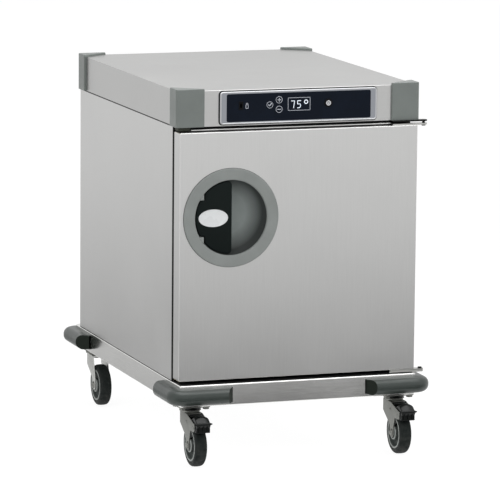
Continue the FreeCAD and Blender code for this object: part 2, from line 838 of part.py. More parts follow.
def top_cover():
    """Lid of five sheets: a top, two sides, a rear and a front cut out for the panel, flanged in below."""
    sheet = lid_sheet
    inner = half_width - sheet
    hole = half_width - lid_flange
    hole_front = shell_front + lid_flange
    hole_rear = lid_rear - lid_flange
    wall_front = lid_front + sheet
    wall_rear = lid_rear - sheet
    wall_top = lid_top - sheet
    flange_top = lid_bottom + sheet
    top = box(-half_width, half_width, lid_front, lid_rear, wall_top, lid_top)
    top = top.cut([cap_seat(corner) for corner in corners])
    front = fused([box(-half_width, half_width, lid_front, wall_front, lid_bottom, wall_top),
                   box(-inner, inner, wall_front, hole_front, lid_bottom, flange_top)])
    front = front.cut(box(-cutout_half_x, cutout_half_x, lid_front - overrun, wall_front + overrun,
                          panel_z - cutout_half_z, panel_z + cutout_half_z))
    rear = fused([box(-half_width, half_width, wall_rear, lid_rear, lid_bottom, wall_top),
                  box(-inner, inner, hole_rear, wall_rear, lid_bottom, flange_top)])
    right = fused([box(inner, half_width, wall_front, wall_rear, lid_bottom, wall_top),
                   box(hole, inner, hole_front, hole_rear, lid_bottom, flange_top)])
    left = right.mirror(point(0, 0, 0), point(1, 0, 0))
    return [top, front, rear, right, left]


# Control panel

def panel_holes(front, rear):
    """Holes for the keys and the socket, through the glass and the bezel's back."""
    holes = []
    for x, z, diameter, proud in keys.values():
        holes.append(rod(diameter / 2 + slide_clearance, point(x, front, z), point(x, rear, z)))
    half_x = usb_width / 2 + slide_clearance
    half_z = usb_height / 2 + slide_clearance
    holes.append(box(usb_x - half_x, usb_x + half_x, front, rear, key_z - half_z, key_z + half_z))
    return holes


def control_bezel():
    """Silver frame on the lid's front, with a shallow pocket for the glass."""
    half_x = bezel_width / 2
    half_z = bezel_height / 2
    outline = rectangle(-half_x, half_x, panel_z - half_z, panel_z + half_z)
    frame = slab("y", bezel_front, lid_front, outline, bezel_corner_radius)
    half_x = glass_width / 2 + slide_clearance
    half_z = glass_height / 2 + slide_clearance
    pocket = rectangle(-half_x, half_x, panel_z - half_z, panel_z + half_z)
    frame = frame.cut(slab("y", bezel_front - overrun, glass_rear, pocket, glass_corner_radius))
    return frame.cut(panel_holes(bezel_front - overrun, lid_front + overrun))


def control_glass():
    """Dark glass over the whole panel, drilled for the keys and the socket."""
    half_x = glass_width / 2
    half_z = glass_height / 2
    outline = rectangle(-half_x, half_x, panel_z - half_z, panel_z + half_z)
    glass = slab("y", glass_front, glass_rear, outline, glass_corner_radius)
    return glass.cut(panel_holes(glass_front - overrun, glass_rear + overrun))


def panel_key(name):
    """Round key that slides straight in, with its stem close to the switch on the board."""
    x, z, diameter, proud = keys[name]
    key = rod(diameter / 2, point(x, glass_front - proud, z), point(x, key_rear, z))
    rim = [edge for edge in key.Edges if edge.BoundBox.YMax < glass_front]
    return key.makeFillet(key_edge_radius, rim)


def usb_socket():
    """Socket block with its slot, seated on the board."""
    half_x = usb_width / 2
    half_z = usb_height / 2
    front = glass_front - usb_proud
    block = box(usb_x - half_x, usb_x + half_x, front, board_front, key_z - half_z, key_z + half_z)
    slot_x = usb_slot_width / 2
    slot_z = usb_slot_height / 2
    return block.cut(box(usb_x - slot_x, usb_x + slot_x, front - overrun, front + usb_slot_depth,
                         key_z - slot_z, key_z + slot_z))


def control_board():
    """Circuit board on four standoffs behind the bezel."""
    half_x = cutout_half_x - board_gap
    half_z = cutout_half_z - board_gap
    board_rear = board_front + board_thickness
    pieces = [box(-half_x, half_x, board_front, board_rear, panel_z - half_z, panel_z + half_z)]
    for i in (-1, 1):
        for j in (-1, 1):
            x = i * (half_x - standoff_diameter)
            z = panel_z + j * (half_z - standoff_diameter)
            pieces.append(rod(standoff_diameter / 2, point(x, lid_front, z), point(x, board_front, z)))
    return fused(pieces)


# Hot air unit

def fan_motor():
    """Motor on the cabinet roof, inside the lid, bored for the fan shaft."""
    flange_top = cabinet_top + motor_flange_thickness
    flange = rod(motor_flange_diameter / 2, point(0, fan_y, cabinet_top), point(0, fan_y, flange_top))
    can = rod(motor_diameter / 2, point(0, fan_y, flange_top), point(0, fan_y, cabinet_top + motor_height))
    bore = rod(shaft_diameter / 2 + shaft_clearance, point(0, fan_y, cabinet_top - overrun),
               point(0, fan_y, cabinet_top + shaft_grip + running_gap))
    return fused([flange, can]).cut(bore)


def fan_impeller():
    """Radial impeller with its shaft."""
    plate_top = cavity_top - impeller_drop
    plate_low = plate_top - impeller_plate
    blade_low = plate_low - blade_height
    hub_radius = impeller_hub_diameter / 2
    radius = impeller_diameter / 2
    pieces = [rod(shaft_diameter / 2, point(0, fan_y, blade_low), point(0, fan_y, cabinet_top + shaft_grip))]
    pieces.append(rod(hub_radius, point(0, fan_y, blade_low), point(0, fan_y, plate_top)))
    pieces.append(rod(radius, point(0, fan_y, plate_low), point(0, fan_y, plate_top)))
    inner = radius - (radius - hub_radius) / 2
    for i in range(blade_count):
        half = blade_thickness / 2
        blade = box(inner, radius - half, fan_y - half, fan_y + half, blade_low, plate_low)
        pieces.append(blade.rotated(point(0, fan_y, 0), point(0, 0, 1), 360 * i / blade_count))
    return fused(pieces)


def heater_element():
    """Ring heating element round the impeller, hung from the cavity roof by its two ends."""
    ring_radius = heater_ring_diameter / 2
    tube = heater_tube_diameter / 2
    z = cavity_top - heater_drop
    pieces = [Part.makeTorus(ring_radius, tube, point(0, fan_y, z), point(0, 0, 1))]
    for i in (-1, 1):
        foot = point(i * ring_radius, fan_y, z)
        pieces.append(rod(heater_leg_diameter / 2, foot, point(i * ring_radius, fan_y, cavity_top)))
    return fused(pieces)


def fan_baffle():
    """Air guide under the fan: a plate with the inlet hole, hung from the roof by two side walls."""
    half_x = cavity_half - baffle_side_gap
    half_y = cavity_depth / 2 - baffle_end_gap
    low = cavity_top - baffle_drop
    tray = box(-half_x, half_x, fan_y - half_y, fan_y + half_y, low, cavity_top)
    tray = tray.cut(box(-half_x + baffle_sheet, half_x - baffle_sheet, fan_y - half_y - overrun,
                        fan_y + half_y + overrun, low + baffle_sheet, cavity_top + overrun))
    return tray.cut(rod(baffle_inlet_diameter / 2, point(0, fan_y, low - overrun),
                        point(0, fan_y, low + baffle_sheet + overrun)))


# Mains inlet

def inlet_block(half_x, half_z, front, rear):
    """Block centred on the inlet."""
    left = inlet_x - half_x
    right = inlet_x + half_x
    return box(left, right, front, rear, inlet_z - half_z, inlet_z + half_z)


def inlet_room():
    """Cut-out for the inlet's body, through the rear panel into the insulation."""
    return inlet_block(inlet_width / 2 - inlet_body_margin, inlet_height / 2 - inlet_body_margin,
                       cabinet_rear - inlet_depth, cabinet_rear + overrun)


def power_inlet():
    """Flanged appliance inlet with three pins in its recess."""
    flange = inlet_block(inlet_width / 2, inlet_height / 2, cabinet_rear, cabinet_rear + inlet_flange)
    body = inlet_block(inlet_width / 2 - inlet_body_margin, inlet_height / 2 - inlet_body_margin,
                       cabinet_rear - inlet_depth, cabinet_rear)
    recess_bottom = cabinet_rear + inlet_flange - inlet_recess_depth
    recess = inlet_block(inlet_recess_width / 2, inlet_recess_height / 2, recess_bottom,
                         cabinet_rear + inlet_flange + overrun)
    shell = fused([flange, body]).cut(recess)
    pieces = [shell]
    for i in (-1, 0, 1):
        x = inlet_x + i * inlet_pin_spacing
        z = inlet_z - inlet_pin_drop
        half_x = inlet_pin_width / 2
        half_z = inlet_pin_height / 2
        pieces.append(box(x - half_x, x + half_x, recess_bottom, recess_bottom + inlet_pin_length,
                          z - half_z, z + half_z))
    return fused(pieces)


# Door

def door_block(inset, front, rear):
    """Block of the door's outline, set in all round."""
    half = half_width - inset
    return box(-half, half, front, rear, door_bottom + inset, door_top - inset)


def handle_cylinder(radius, front, rear):
    """Round bar on the handle's axis."""
    return rod(radius, point(handle_x, front, handle_z), point(handle_x, rear, handle_z))


def door_outer_skin():
    """Folded door pan: front and four edges, with a round hole for the handle cup."""
    pan = door_block(0, door_front, door_rear)
    front_edges = [edge for edge in pan.Edges if edge.BoundBox.YMax < door_front + door_sheet]
    pan = pan.makeFillet(door_edge_radius, front_edges)
    pan = pan.cut(door_block(door_sheet, door_front + door_sheet, door_rear + overrun))
    hole_rear = door_front + door_sheet + overrun
    return pan.cut(handle_cylinder(cup_outer_radius, door_front - overrun, hole_rear))


def door_inner_skin():
    """Inner sheet of the door, set into the pan, with the slot for the latch nose."""
    sheet = door_block(door_sheet, door_rear - door_sheet, door_rear)
    return sheet.cut(latch_opening(door_rear - door_sheet - overrun, door_rear + overrun))


def bolt_room():
    """Pocket in the door that the latch bolt slides in."""
    half = bolt_bar_height / 2 + pocket_clearance
    return box(nose_left - pocket_clearance, pivot_x, bar_front - pocket_clearance, door_rear,
               handle_z - half, handle_z + half)


def door_insulation():
    """Insulation that fills the door round the cup and the latch."""
    filling = door_block(door_sheet, door_front + door_sheet, door_rear - door_sheet)
    cup = handle_cylinder(cup_outer_radius, door_front - overrun, door_front + cup_depth + cup_wall)
    return filling.cut(cup).cut(bolt_room())


def door_gasket():
    """Soft seal round the cavity, on the door's inner sheet."""
    rear = cabinet_front - running_gap
    half = half_width - gasket_edge
    low = chassis_top + gasket_edge
    high = cabinet_top - gasket_edge
    width = gasket_width
    ring = box(-half, half, door_rear, rear, low, high)
    return ring.cut(box(-half + width, half - width, door_rear - overrun, rear + overrun,
                        low + width, high - width))


def handle_cup():
    """Grip cup: ring on the door's face, straight-sided bowl, and two lugs for the lever's pin."""
    inner = ring_inner_diameter / 2
    outer = ring_diameter / 2
    proud = door_front - ring_proud
    bottom = door_front + cup_depth
    ring = turned_y([(inner, proud), (outer, proud), (outer, door_front), (inner, door_front)],
                    handle_x, handle_z, [ring_edge_radius, ring_edge_radius, 0, 0])
    back = bottom + cup_wall
    bowl = [(0, bottom), (inner, bottom), (inner, door_front), (cup_outer_radius, door_front)]
    bowl += [(cup_outer_radius, back), (0, back)]
    bowl = turned_y(bowl, handle_x, handle_z, [0, cup_bottom_radius, 0, 0, 0, 0])
    cup = fused([ring, bowl])
    lug_front = proud + running_gap
    half_x = lug_width / 2
    for i in (-1, 1):
        near = handle_z + i * lug_gap / 2
        far = near + i * lug_height
        outline = rectangle(pivot_x - half_x, pivot_x + half_x, lug_front, lug_front + lug_depth)
        radii = [lug_edge_radius, lug_edge_radius, 0, 0]
        lug = slab("z", min(near, far), max(near, far), outline, radii)
        proud_part = lug.common(handle_cylinder(outer - ring_edge_radius, proud, door_front))
        sunk_part = lug.common(handle_cylinder(inner + cup_wall / 2, door_front, bottom))
        cup = fused([cup, proud_part, sunk_part])
    half_z = bolt_bar_height / 2 + running_gap
    slot = box(handle_x - outer, pivot_x, bar_front - running_gap, bar_rear + running_gap,
               handle_z - half_z, handle_z + half_z)
    return cup.cut(latch_pin()).cut(slot)


def latch_pin():
    """Pin through the two lugs and the lever."""
    half = lug_gap / 2 + latch_pin_grip
    return rod(latch_pin_diameter / 2, point(pivot_x, pivot_y, handle_z - half),
               point(pivot_x, pivot_y, handle_z + half))


def latch_lever():
    """Half-disc paddle over the cup's left half, with its tab between the lugs and a tail for the bolt."""
    front = door_front + lever_setback
    rear = front + lever_thickness
    radius = ring_inner_diameter / 2 - lever_clearance
    disc = handle_cylinder(radius, front, rear)
    tab_left = pivot_x - lever_tab_overhang
    paddle = disc.common(box(tab_left, handle_x, front, rear, handle_z - radius, handle_z + radius))
    corner = [edge for edge in paddle.Edges if edge.BoundBox.XMin > handle_x - lever_edge_radius]
    corner = [edge for edge in corner if edge.BoundBox.ZLength < lever_edge_radius]
    paddle = paddle.makeFillet(lever_corner_radius, corner)
    face = [edge for edge in paddle.Edges if edge.BoundBox.YMax < front + lever_thickness / 4]
    paddle = paddle.makeFillet(lever_edge_radius, face)
    clear_right = pivot_x + math.hypot(lug_width / 2, pivot_setback + ring_proud) + running_gap
    tab_half = lug_gap / 2 - running_gap
    for i in (-1, 1):
        near = handle_z + i * tab_half
        far = handle_z + i * (radius + overrun)
        paddle = paddle.cut(box(tab_left - overrun, clear_right, front - overrun, rear + overrun,
                                min(near, far), max(near, far)))
    tail = box(pivot_x - tail_width / 2, pivot_x + tail_width / 2, rear - lever_edge_radius,
               bar_rear - tail_end_gap, handle_z - tail_height / 2, handle_z + tail_height / 2)
    bore = rod(latch_pin_diameter / 2 + shaft_clearance, point(pivot_x, pivot_y, handle_z - radius),
               point(pivot_x, pivot_y, handle_z + radius))
    return fused([paddle, tail]).cut(bore)


def latch_bolt():
    """Flat sliding bolt: a slot for the lever's tail at one end, a hooked nose at the other."""
    half = bolt_bar_height / 2
    slot_half = tail_width / 2 + bolt_slot_play
    bar_end = pivot_x + slot_half + bolt_bar_end
    bar = box(nose_left, bar_end, bar_front, bar_rear, handle_z - half, handle_z + half)
    slot_z = tail_height / 2 + running_gap
    slot = box(pivot_x - slot_half, pivot_x + slot_half, bar_front - overrun, bar_rear + overrun,
               handle_z - slot_z, handle_z + slot_z)
    nose_half = nose_height / 2
    nose = box(nose_left, nose_left + nose_width, bar_front, nose_end,
               handle_z - nose_half, handle_z + nose_half)
    notch = box(nose_left - overrun, nose_left + hook_depth, cabinet_front, hook_front,
                handle_z - nose_half - overrun, handle_z + nose_half + overrun)
    return fused([bar.cut(slot), nose]).cut(notch)


def hinge_plate(low, high):
    """Flat hinge plate with a round end about the hinge axis."""
    half = hinge_plate_width / 2
    outline = rectangle(half_width - hinge_plate_tail, hinge_x + half, hinge_y - half, hinge_y + half)
    round_end = half - running_gap
    return slab("z", low, high, outline, [0, round_end, round_end, 0])


def hinge_rod(radius, low, high):
    """Round bar on the hinge axis."""
    return rod(radius, point(hinge_x, hinge_y, low), point(hinge_x, hinge_y, high))


def hinge_arms():
    """Arms on the door's bottom and top edges, bored for the pins."""
    arms = []
    for low in (door_bottom - hinge_arm_thickness, door_top):
        high = low + hinge_arm_thickness
        bore = hinge_rod(hinge_pin_diameter / 2 + shaft_clearance, low - overrun, high + overrun)
        arms.append(hinge_plate(low, high).cut(bore))
    return arms


def hinge_brackets():
    """Fixed plates on the chassis and under the lid, each with its pin and a head that keeps the arm on."""
    radius = hinge_pin_diameter / 2
    head_radius = hinge_pin_head_diameter / 2
    low_top = door_bottom - hinge_arm_thickness - hinge_plate_gap
    low_head = door_bottom + hinge_plate_gap
    lower = [hinge_plate(chassis_top, low_top), hinge_rod(radius, low_top, low_head)]
    lower.append(hinge_rod(head_radius, low_head, low_head + hinge_pin_head_height))
    high_bottom = lid_bottom - hinge_plate_thickness
    high_head = door_top - hinge_plate_gap
    upper = [hinge_plate(high_bottom, lid_bottom), hinge_rod(radius, high_head, high_bottom)]
    upper.append(hinge_rod(head_radius, high_head - hinge_pin_head_height, high_head))
    upper.append(box(half_width - hinge_plate_tail, half_width, hinge_y + hinge_plate_width / 2,
                     cabinet_front, high_bottom, lid_bottom))
    return [fused(lower), fused(upper)]


def main():
    """Build every piece and write it."""
    os.makedirs("parts", exist_ok=True)
    for corner, (side, end) in corners.items():
        braked = end < 0
        save("castor_" + corner + "_fork", castor_fork(corner, braked))
        save("castor_" + corner + "_wheel", [castor_wheel(corner)])
        save("castor_" + corner + "_tyre", [castor_tyre(corner)])
        if braked:
            save("castor_" + corner + "_brake", [castor_brake(corner)])
        save("bumper_" + corner, [bumper(corner)])
        save("corner_cap_" + corner, [corner_cap(corner)])
    save("castor_plates", [castor_plate(corner) for corner in corners])
    save("castor_bolts", [bolt for corner in corners for bolt in castor_bolts(corner)])
    save("chassis_frame", [chassis_frame()])
    save("side_panel_left", [side_panel(-1)])
    save("side_panel_right", [side_panel(1)])
    save("rack_guide_left", rack_guide(-1))
    save("rack_guide_right", rack_guide(1))
    for name in keys:
        save(name, [panel_key(name)])
    save("hinge_arms", hinge_arms())
    save("hinge_brackets", hinge_brackets())
    save("top_cover", top_cover())
    singles = [front_frame, rear_panel, base_panel, ceiling_panel, inner_liner, body_insulation]
    singles += [control_bezel, control_glass, usb_socket, control_board]
    singles += [fan_motor, fan_impeller, fan_baffle, heater_element, power_inlet]
    singles += [door_outer_skin, door_inner_skin, door_insulation, door_gasket]
    singles += [handle_cup, latch_lever, latch_pin, latch_bolt, latch_keeper]
    for build in singles:
        save(build.__name__, [build()])


main()
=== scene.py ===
"""Heated banquet trolley: modelled pieces, finishes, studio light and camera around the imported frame.

Metres. +Z is up, the door faces -Y, the door hinges are at +X.
"""

import json
import logging
import math
from dataclasses import dataclass
from enum import Enum
from typing import ClassVar, Sequence

import bmesh
import bpy
import numpy as np
from mathutils import Matrix, Vector


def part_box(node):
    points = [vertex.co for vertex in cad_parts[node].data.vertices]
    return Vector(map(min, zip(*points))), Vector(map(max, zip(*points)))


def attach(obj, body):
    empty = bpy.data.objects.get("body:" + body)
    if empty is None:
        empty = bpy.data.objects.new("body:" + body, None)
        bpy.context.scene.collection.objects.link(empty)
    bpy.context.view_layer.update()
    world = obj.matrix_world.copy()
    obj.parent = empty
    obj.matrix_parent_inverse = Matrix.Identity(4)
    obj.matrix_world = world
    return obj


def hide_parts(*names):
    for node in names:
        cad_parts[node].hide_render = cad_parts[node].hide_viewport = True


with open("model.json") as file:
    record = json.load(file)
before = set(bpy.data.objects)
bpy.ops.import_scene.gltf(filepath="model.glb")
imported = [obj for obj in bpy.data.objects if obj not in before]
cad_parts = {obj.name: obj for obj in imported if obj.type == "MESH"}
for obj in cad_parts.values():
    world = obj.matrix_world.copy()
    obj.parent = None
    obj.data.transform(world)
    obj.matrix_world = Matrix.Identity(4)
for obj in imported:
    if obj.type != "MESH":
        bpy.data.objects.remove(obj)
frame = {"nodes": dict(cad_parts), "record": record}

LOG = logging.getLogger("trolley")
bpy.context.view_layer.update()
MERGE_DISTANCE = 1e-6
TINY = 1e-12
MITRE_LIMIT = 0.3
FOLD_ANGLE = 40.0
NEARLY_HALF = 0.97
Places = Sequence[float]
Socket = bpy.types.NodeSocket
Inputs = bpy.types.NodeInputs


class Axis(Enum):
    """Axis that a profile is drawn out along or turned about."""

    X = 0
    Y = 1
    Z = 2

    def place(self, along: np.ndarray, u: np.ndarray, v: np.ndarray) -> np.ndarray:
        """Put a place along this axis and two places across it in the frame's order.

        Args:
            along: Places along this axis.
            u: Places along the first of the other two axes.
            v: Places along the second of the other two axes.

        Returns:
            Points, with x, y and z in the last dimension.
        """
        parts = [u, v]
        parts.insert(self.value, along)
        return np.stack(np.broadcast_arrays(*parts), axis=-1)


class Corner(Enum):
    """Corner of the trolley: its short name, its side (-1 left) and its end (-1 front)."""

    FRONT_LEFT = ("fl", -1, -1)
    FRONT_RIGHT = ("fr", 1, -1)
    REAR_LEFT = ("rl", -1, 1)
    REAR_RIGHT = ("rr", 1, 1)

    def __init__(self, tag: str, side: int, end: int) -> None:
        """Name the corner's three values."""
        self.tag, self.side, self.end = tag, side, end


@dataclass
class Box:
    """Box of a node: its lowest and highest places, its middle and its half sizes."""

    node: str

    def __post_init__(self) -> None:
        """Read the box off the frame."""
        low, high = (np.array(corner, float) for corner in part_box(self.node))
        self.x0, self.y0, self.z0 = low.tolist()
        self.x1, self.y1, self.z1 = high.tolist()
        self.x, self.y, self.z = ((low + high) / 2).tolist()
        self.half_x, self.half_y, self.half_z = ((high - low) / 2).tolist()

    def front(self, in_x: float = 0.0, in_z: float = 0.0, radius: float = 0.0, steps: int = 6) -> np.ndarray:
        """Outline of the box from the front, set in at its sides and at its top and bottom."""
        return rectangle(self.x0 + in_x, self.x1 - in_x, self.z0 + in_z, self.z1 - in_z, radius, steps)


@dataclass
class Shell:
    """Surface as points and the corner numbers of its faces."""

    points: np.ndarray
    faces: list[list[int]]


def join(*shells: Shell) -> Shell:
    """Put shells together.

    Args:
        shells: Shells to join.

    Returns:
        One shell, whose corner numbers count on from each shell to the next.
    """
    faces, count = [], 0
    for shell in shells:
        faces += [[corner + count for corner in face] for face in shell.faces]
        count += len(shell.points)
    return Shell(np.concatenate([shell.points for shell in shells]), faces)


def lattice(points: np.ndarray, around: bool = True, along: bool = False, ends: bool = True) -> Shell:
    """Skin a grid of points with quads.

    Args:
        points: Rings of points, as (rings, points in a ring, 3).
        around: Whether each ring is closed.
        along: Whether the last ring joins the first.
        ends: Whether the first and last rings are filled.

    Returns:
        The skinned shell.
    """
    rows, columns = points.shape[:2]
    index = np.arange(rows * columns).reshape(rows, columns)
    rings = index
    if around:
        index = np.concatenate([index, index[:, :1]], axis=1)
    if along:
        index = np.concatenate([index, index[:1]], axis=0)
    quads = np.stack([index[:-1, :-1], index[:-1, 1:], index[1:, 1:], index[1:, :-1]], axis=-1)
    faces = quads.reshape(-1, 4).tolist()
    if ends and not along:
        faces += [rings[0, ::-1].tolist(), rings[-1].tolist()]
    return Shell(points.reshape(-1, 3), faces)


def level_sheet(across: Places, along: Places, height: float, count: int) -> Shell:
    """Level rectangle between two edges each way, as a grid of points."""
    y, x = np.meshgrid(np.linspace(*along, count), np.linspace(*across, count), indexing="ij")
    return lattice(np.stack([x, y, np.full_like(x, height)], axis=-1), around=False, ends=False)


def skin(axis: Axis, place: Places, rings: np.ndarray, along: bool = False) -> Shell:
    """Skin outlines that each have a place along an axis; along joins the last to the first."""
    return lattice(axis.place(np.asarray(place, float)[:, None], rings[..., 0], rings[..., 1]), along=along)


def arc(centre: Places, radius: float, start: float, end: float, steps: int = 10) -> np.ndarray:
    """Points on a circle from one angle to another, in degrees, both ends included."""
    angle = np.radians(np.linspace(start, end, steps + 1))
    return np.asarray(centre) + radius * np.stack([np.cos(angle), np.sin(angle)], axis=-1)


def quarter(radius: float, steps: int) -> tuple[np.ndarray, np.ndarray]:
    """Quarter circle of a rim: at angle t, set in by r(1 - sin t) and r(1 - cos t) away from the end."""
    turn = np.linspace(0.0, math.pi / 2, steps + 1)
    return radius * (1 - np.sin(turn)), radius * (1 - np.cos(turn))


def rounded(corners: Sequence[Places], radii: Places, steps: int = 6) -> np.ndarray:
    """Closed outline through corner points, each corner replaced by an arc that touches both its sides.

    Args:
        corners: Corner points, in order round the outline.
        radii: Radius of each corner, 0 for a sharp one.
        steps: Parts that each arc is divided into.

    Returns:
        Outline points, as (count, 2).
    """
    corners = np.asarray(corners, float)
    back = np.roll(corners, 1, axis=0) - corners
    ahead = np.roll(corners, -1, axis=0) - corners
    back /= np.linalg.norm(back, axis=1, keepdims=True)
    ahead /= np.linalg.norm(ahead, axis=1, keepdims=True)
    half = np.arccos(np.clip((back * ahead).sum(1), -1.0, 1.0)) / 2
    middle = back + ahead
    middle /= np.maximum(np.linalg.norm(middle, axis=1, keepdims=True), TINY)
    share = np.linspace(0.0, 1.0, steps + 1)
    outline = []
    for here, first, last, mean, angle, radius in zip(corners, back, ahead, middle, half, radii):
        if radius <= 0:
            outline.append(here[None])
            continue
        centre = here + mean * radius / math.sin(angle)
        start = here + first * radius / math.tan(angle) - centre
        end = here + last * radius / math.tan(angle) - centre
        sweep = math.atan2(start[0] * end[1] - start[1] * end[0], start @ end)
        turn = math.atan2(start[1], start[0]) + sweep * share
        outline.append(centre + radius * np.stack([np.cos(turn), np.sin(turn)], axis=-1))
    return np.concatenate(outline)


def rectangle(u0: float, u1: float, v0: float, v1: float, radius: float = 0.0, steps: int = 6) -> np.ndarray:
    """Outline of a rectangle with one radius at its four corners."""
    return rounded([(u0, v0), (u1, v0), (u1, v1), (u0, v1)], [radius] * 4, steps)


def ellipse(centre: Places, half_u: float, half_v: float, steps: int = 64) -> np.ndarray:
    """Outline of an ellipse by its two half axes."""
    angle = np.linspace(0.0, 2 * math.pi, steps, endpoint=False)
    return np.asarray(centre) + np.stack([half_u * np.cos(angle), half_v * np.sin(angle)], axis=-1)


def hexagon(centre: Places, width: float) -> np.ndarray:
    """Outline of a hexagon by its width across flats."""
    return ellipse(centre, width / math.sqrt(3), width / math.sqrt(3), 6)


def inset(outline: np.ndarray, distance: Places) -> np.ndarray:
    """Closed outlines moved inwards by each distance, every point along the mean of its two side normals.

    Args:
        outline: Outline points, as (count, 2).
        distance: Distances, one for each outline to make.

    Returns:
        Outlines, as (distances, count, 2).
    """
    shifted = np.roll(outline, -1, axis=0)
    area = (outline[:, 0] * shifted[:, 1] - outline[:, 1] * shifted[:, 0]).sum()
    side = shifted - outline
    side /= np.maximum(np.linalg.norm(side, axis=1, keepdims=True), TINY)
    normal = np.stack([-side[:, 1], side[:, 0]], axis=-1) * np.sign(area)
    before = np.roll(normal, 1, axis=0)
    reach = (before + normal) / np.maximum(1.0 + (before * normal).sum(1, keepdims=True), MITRE_LIMIT)
    return outline[None] + np.asarray(distance)[:, None, None] * reach[None]


def slab(axis: Axis, low: float, high: float, outline: np.ndarray, low_radius: float = 0.0,
         high_radius: float = 0.0, steps: int = 4) -> Shell:
    """Outline drawn out along an axis, with its two rims rounded by quarter circles.

    Args:
        axis: Axis that the outline is drawn out along.
        low: Where it starts on the axis.
        high: Where it ends on the axis.
        outline: Closed outline across the axis.
        low_radius: Radius of the rim at the start.
        high_radius: Radius of the rim at the end.
        steps: Parts that each rim is divided into.

    Returns:
        The closed shell.
    """
    low_in, low_back = quarter(low_radius, steps if low_radius > 0 else 0)
    high_in, high_back = quarter(high_radius, steps if high_radius > 0 else 0)
    rings = inset(outline, np.concatenate([low_in, high_in[::-1]]))
    return skin(axis, np.concatenate([low + low_back, high - high_back[::-1]]), rings)


def turned(axis: Axis, centre: Places, profile: Sequence[Places], closed: bool = False,
           steps: int = 96) -> Shell:
    """Profile of (place along the axis, radius) points turned once about an axis.

    Args:
        axis: Axis to turn about.
        centre: Where the axis lies across the other two.
        profile: Points of the profile, as (count, 2).
        closed: Whether the profile's last point joins its first.
        steps: Parts that the turn is divided into.

    Returns:
        The shell, closed where the profile is closed or ends on the axis.
    """
    profile = np.asarray(profile, float)
    angle = np.linspace(0.0, 2 * math.pi, steps, endpoint=False)
    u = centre[0] + profile[:, 1, None] * np.cos(angle)
    v = centre[1] + profile[:, 1, None] * np.sin(angle)
    return lattice(axis.place(profile[:, 0, None], u, v), along=closed, ends=False)


def band(axis: Axis, low: float, high: float, outer: np.ndarray, inner: np.ndarray) -> Shell:
    """Frame between two outlines of equal point counts, drawn out along an axis."""
    return skin(axis, [low, high, high, low], np.stack([outer, outer, inner, inner]), along=True)


def stroke(axis: Axis, low: float, high: float, points: Sequence[Places], width: float) -> Shell:
    """Line of round-ended bars through points, drawn out along an axis.

    Args:
        axis: Axis that the line is drawn out along.
        low: Where it starts on the axis.
        high: Where it ends on the axis.
        points: Points that the line passes through, across the axis.
        width: Width of the line.

    Returns:
        One closed shell for each bar, joined.
    """
    bars = []
    for start, end in zip(points[:-1], points[1:]):
        heading = math.degrees(math.atan2(end[1] - start[1], end[0] - start[0]))
        first = arc(start, width / 2, heading + 90, heading + 270, 8)
        last = arc(end, width / 2, heading - 90, heading + 90, 8)
        bars.append(slab(axis, low, high, np.concatenate([first, last])))
    return join(*bars)


def ring(axis: Axis, low: float, high: float, centre: Places, radius: float, width: float) -> Shell:
    """Flat ring of a given outer radius and width, drawn out along an axis."""
    inner = radius - width
    return turned(axis, centre, [(low, inner), (low, radius), (high, radius), (high, inner)], closed=True)


def dome(axis: Axis, base: float, height: float, centre: Places, radius: float) -> Shell:
    """Round screw or rivet head, a quarter ellipse from its rim to its crown, turned about an axis.

    Args:
        axis: Axis to turn about.
        base: Place of its seat on the axis.
        height: Height of its crown over the seat, negative towards lower places.
        centre: Where the axis lies across the other two.
        radius: Radius of its rim.

    Returns:
        The closed shell.
    """
    turn = np.linspace(0.0, math.pi / 2, 7)
    rim = np.stack([base + height * np.sin(turn), radius * np.cos(turn)], axis=-1)
    profile = np.concatenate([[(base, 0.0)], rim[:-1], [(base + height, 0.0)]])
    return turned(axis, centre, profile, steps=24)


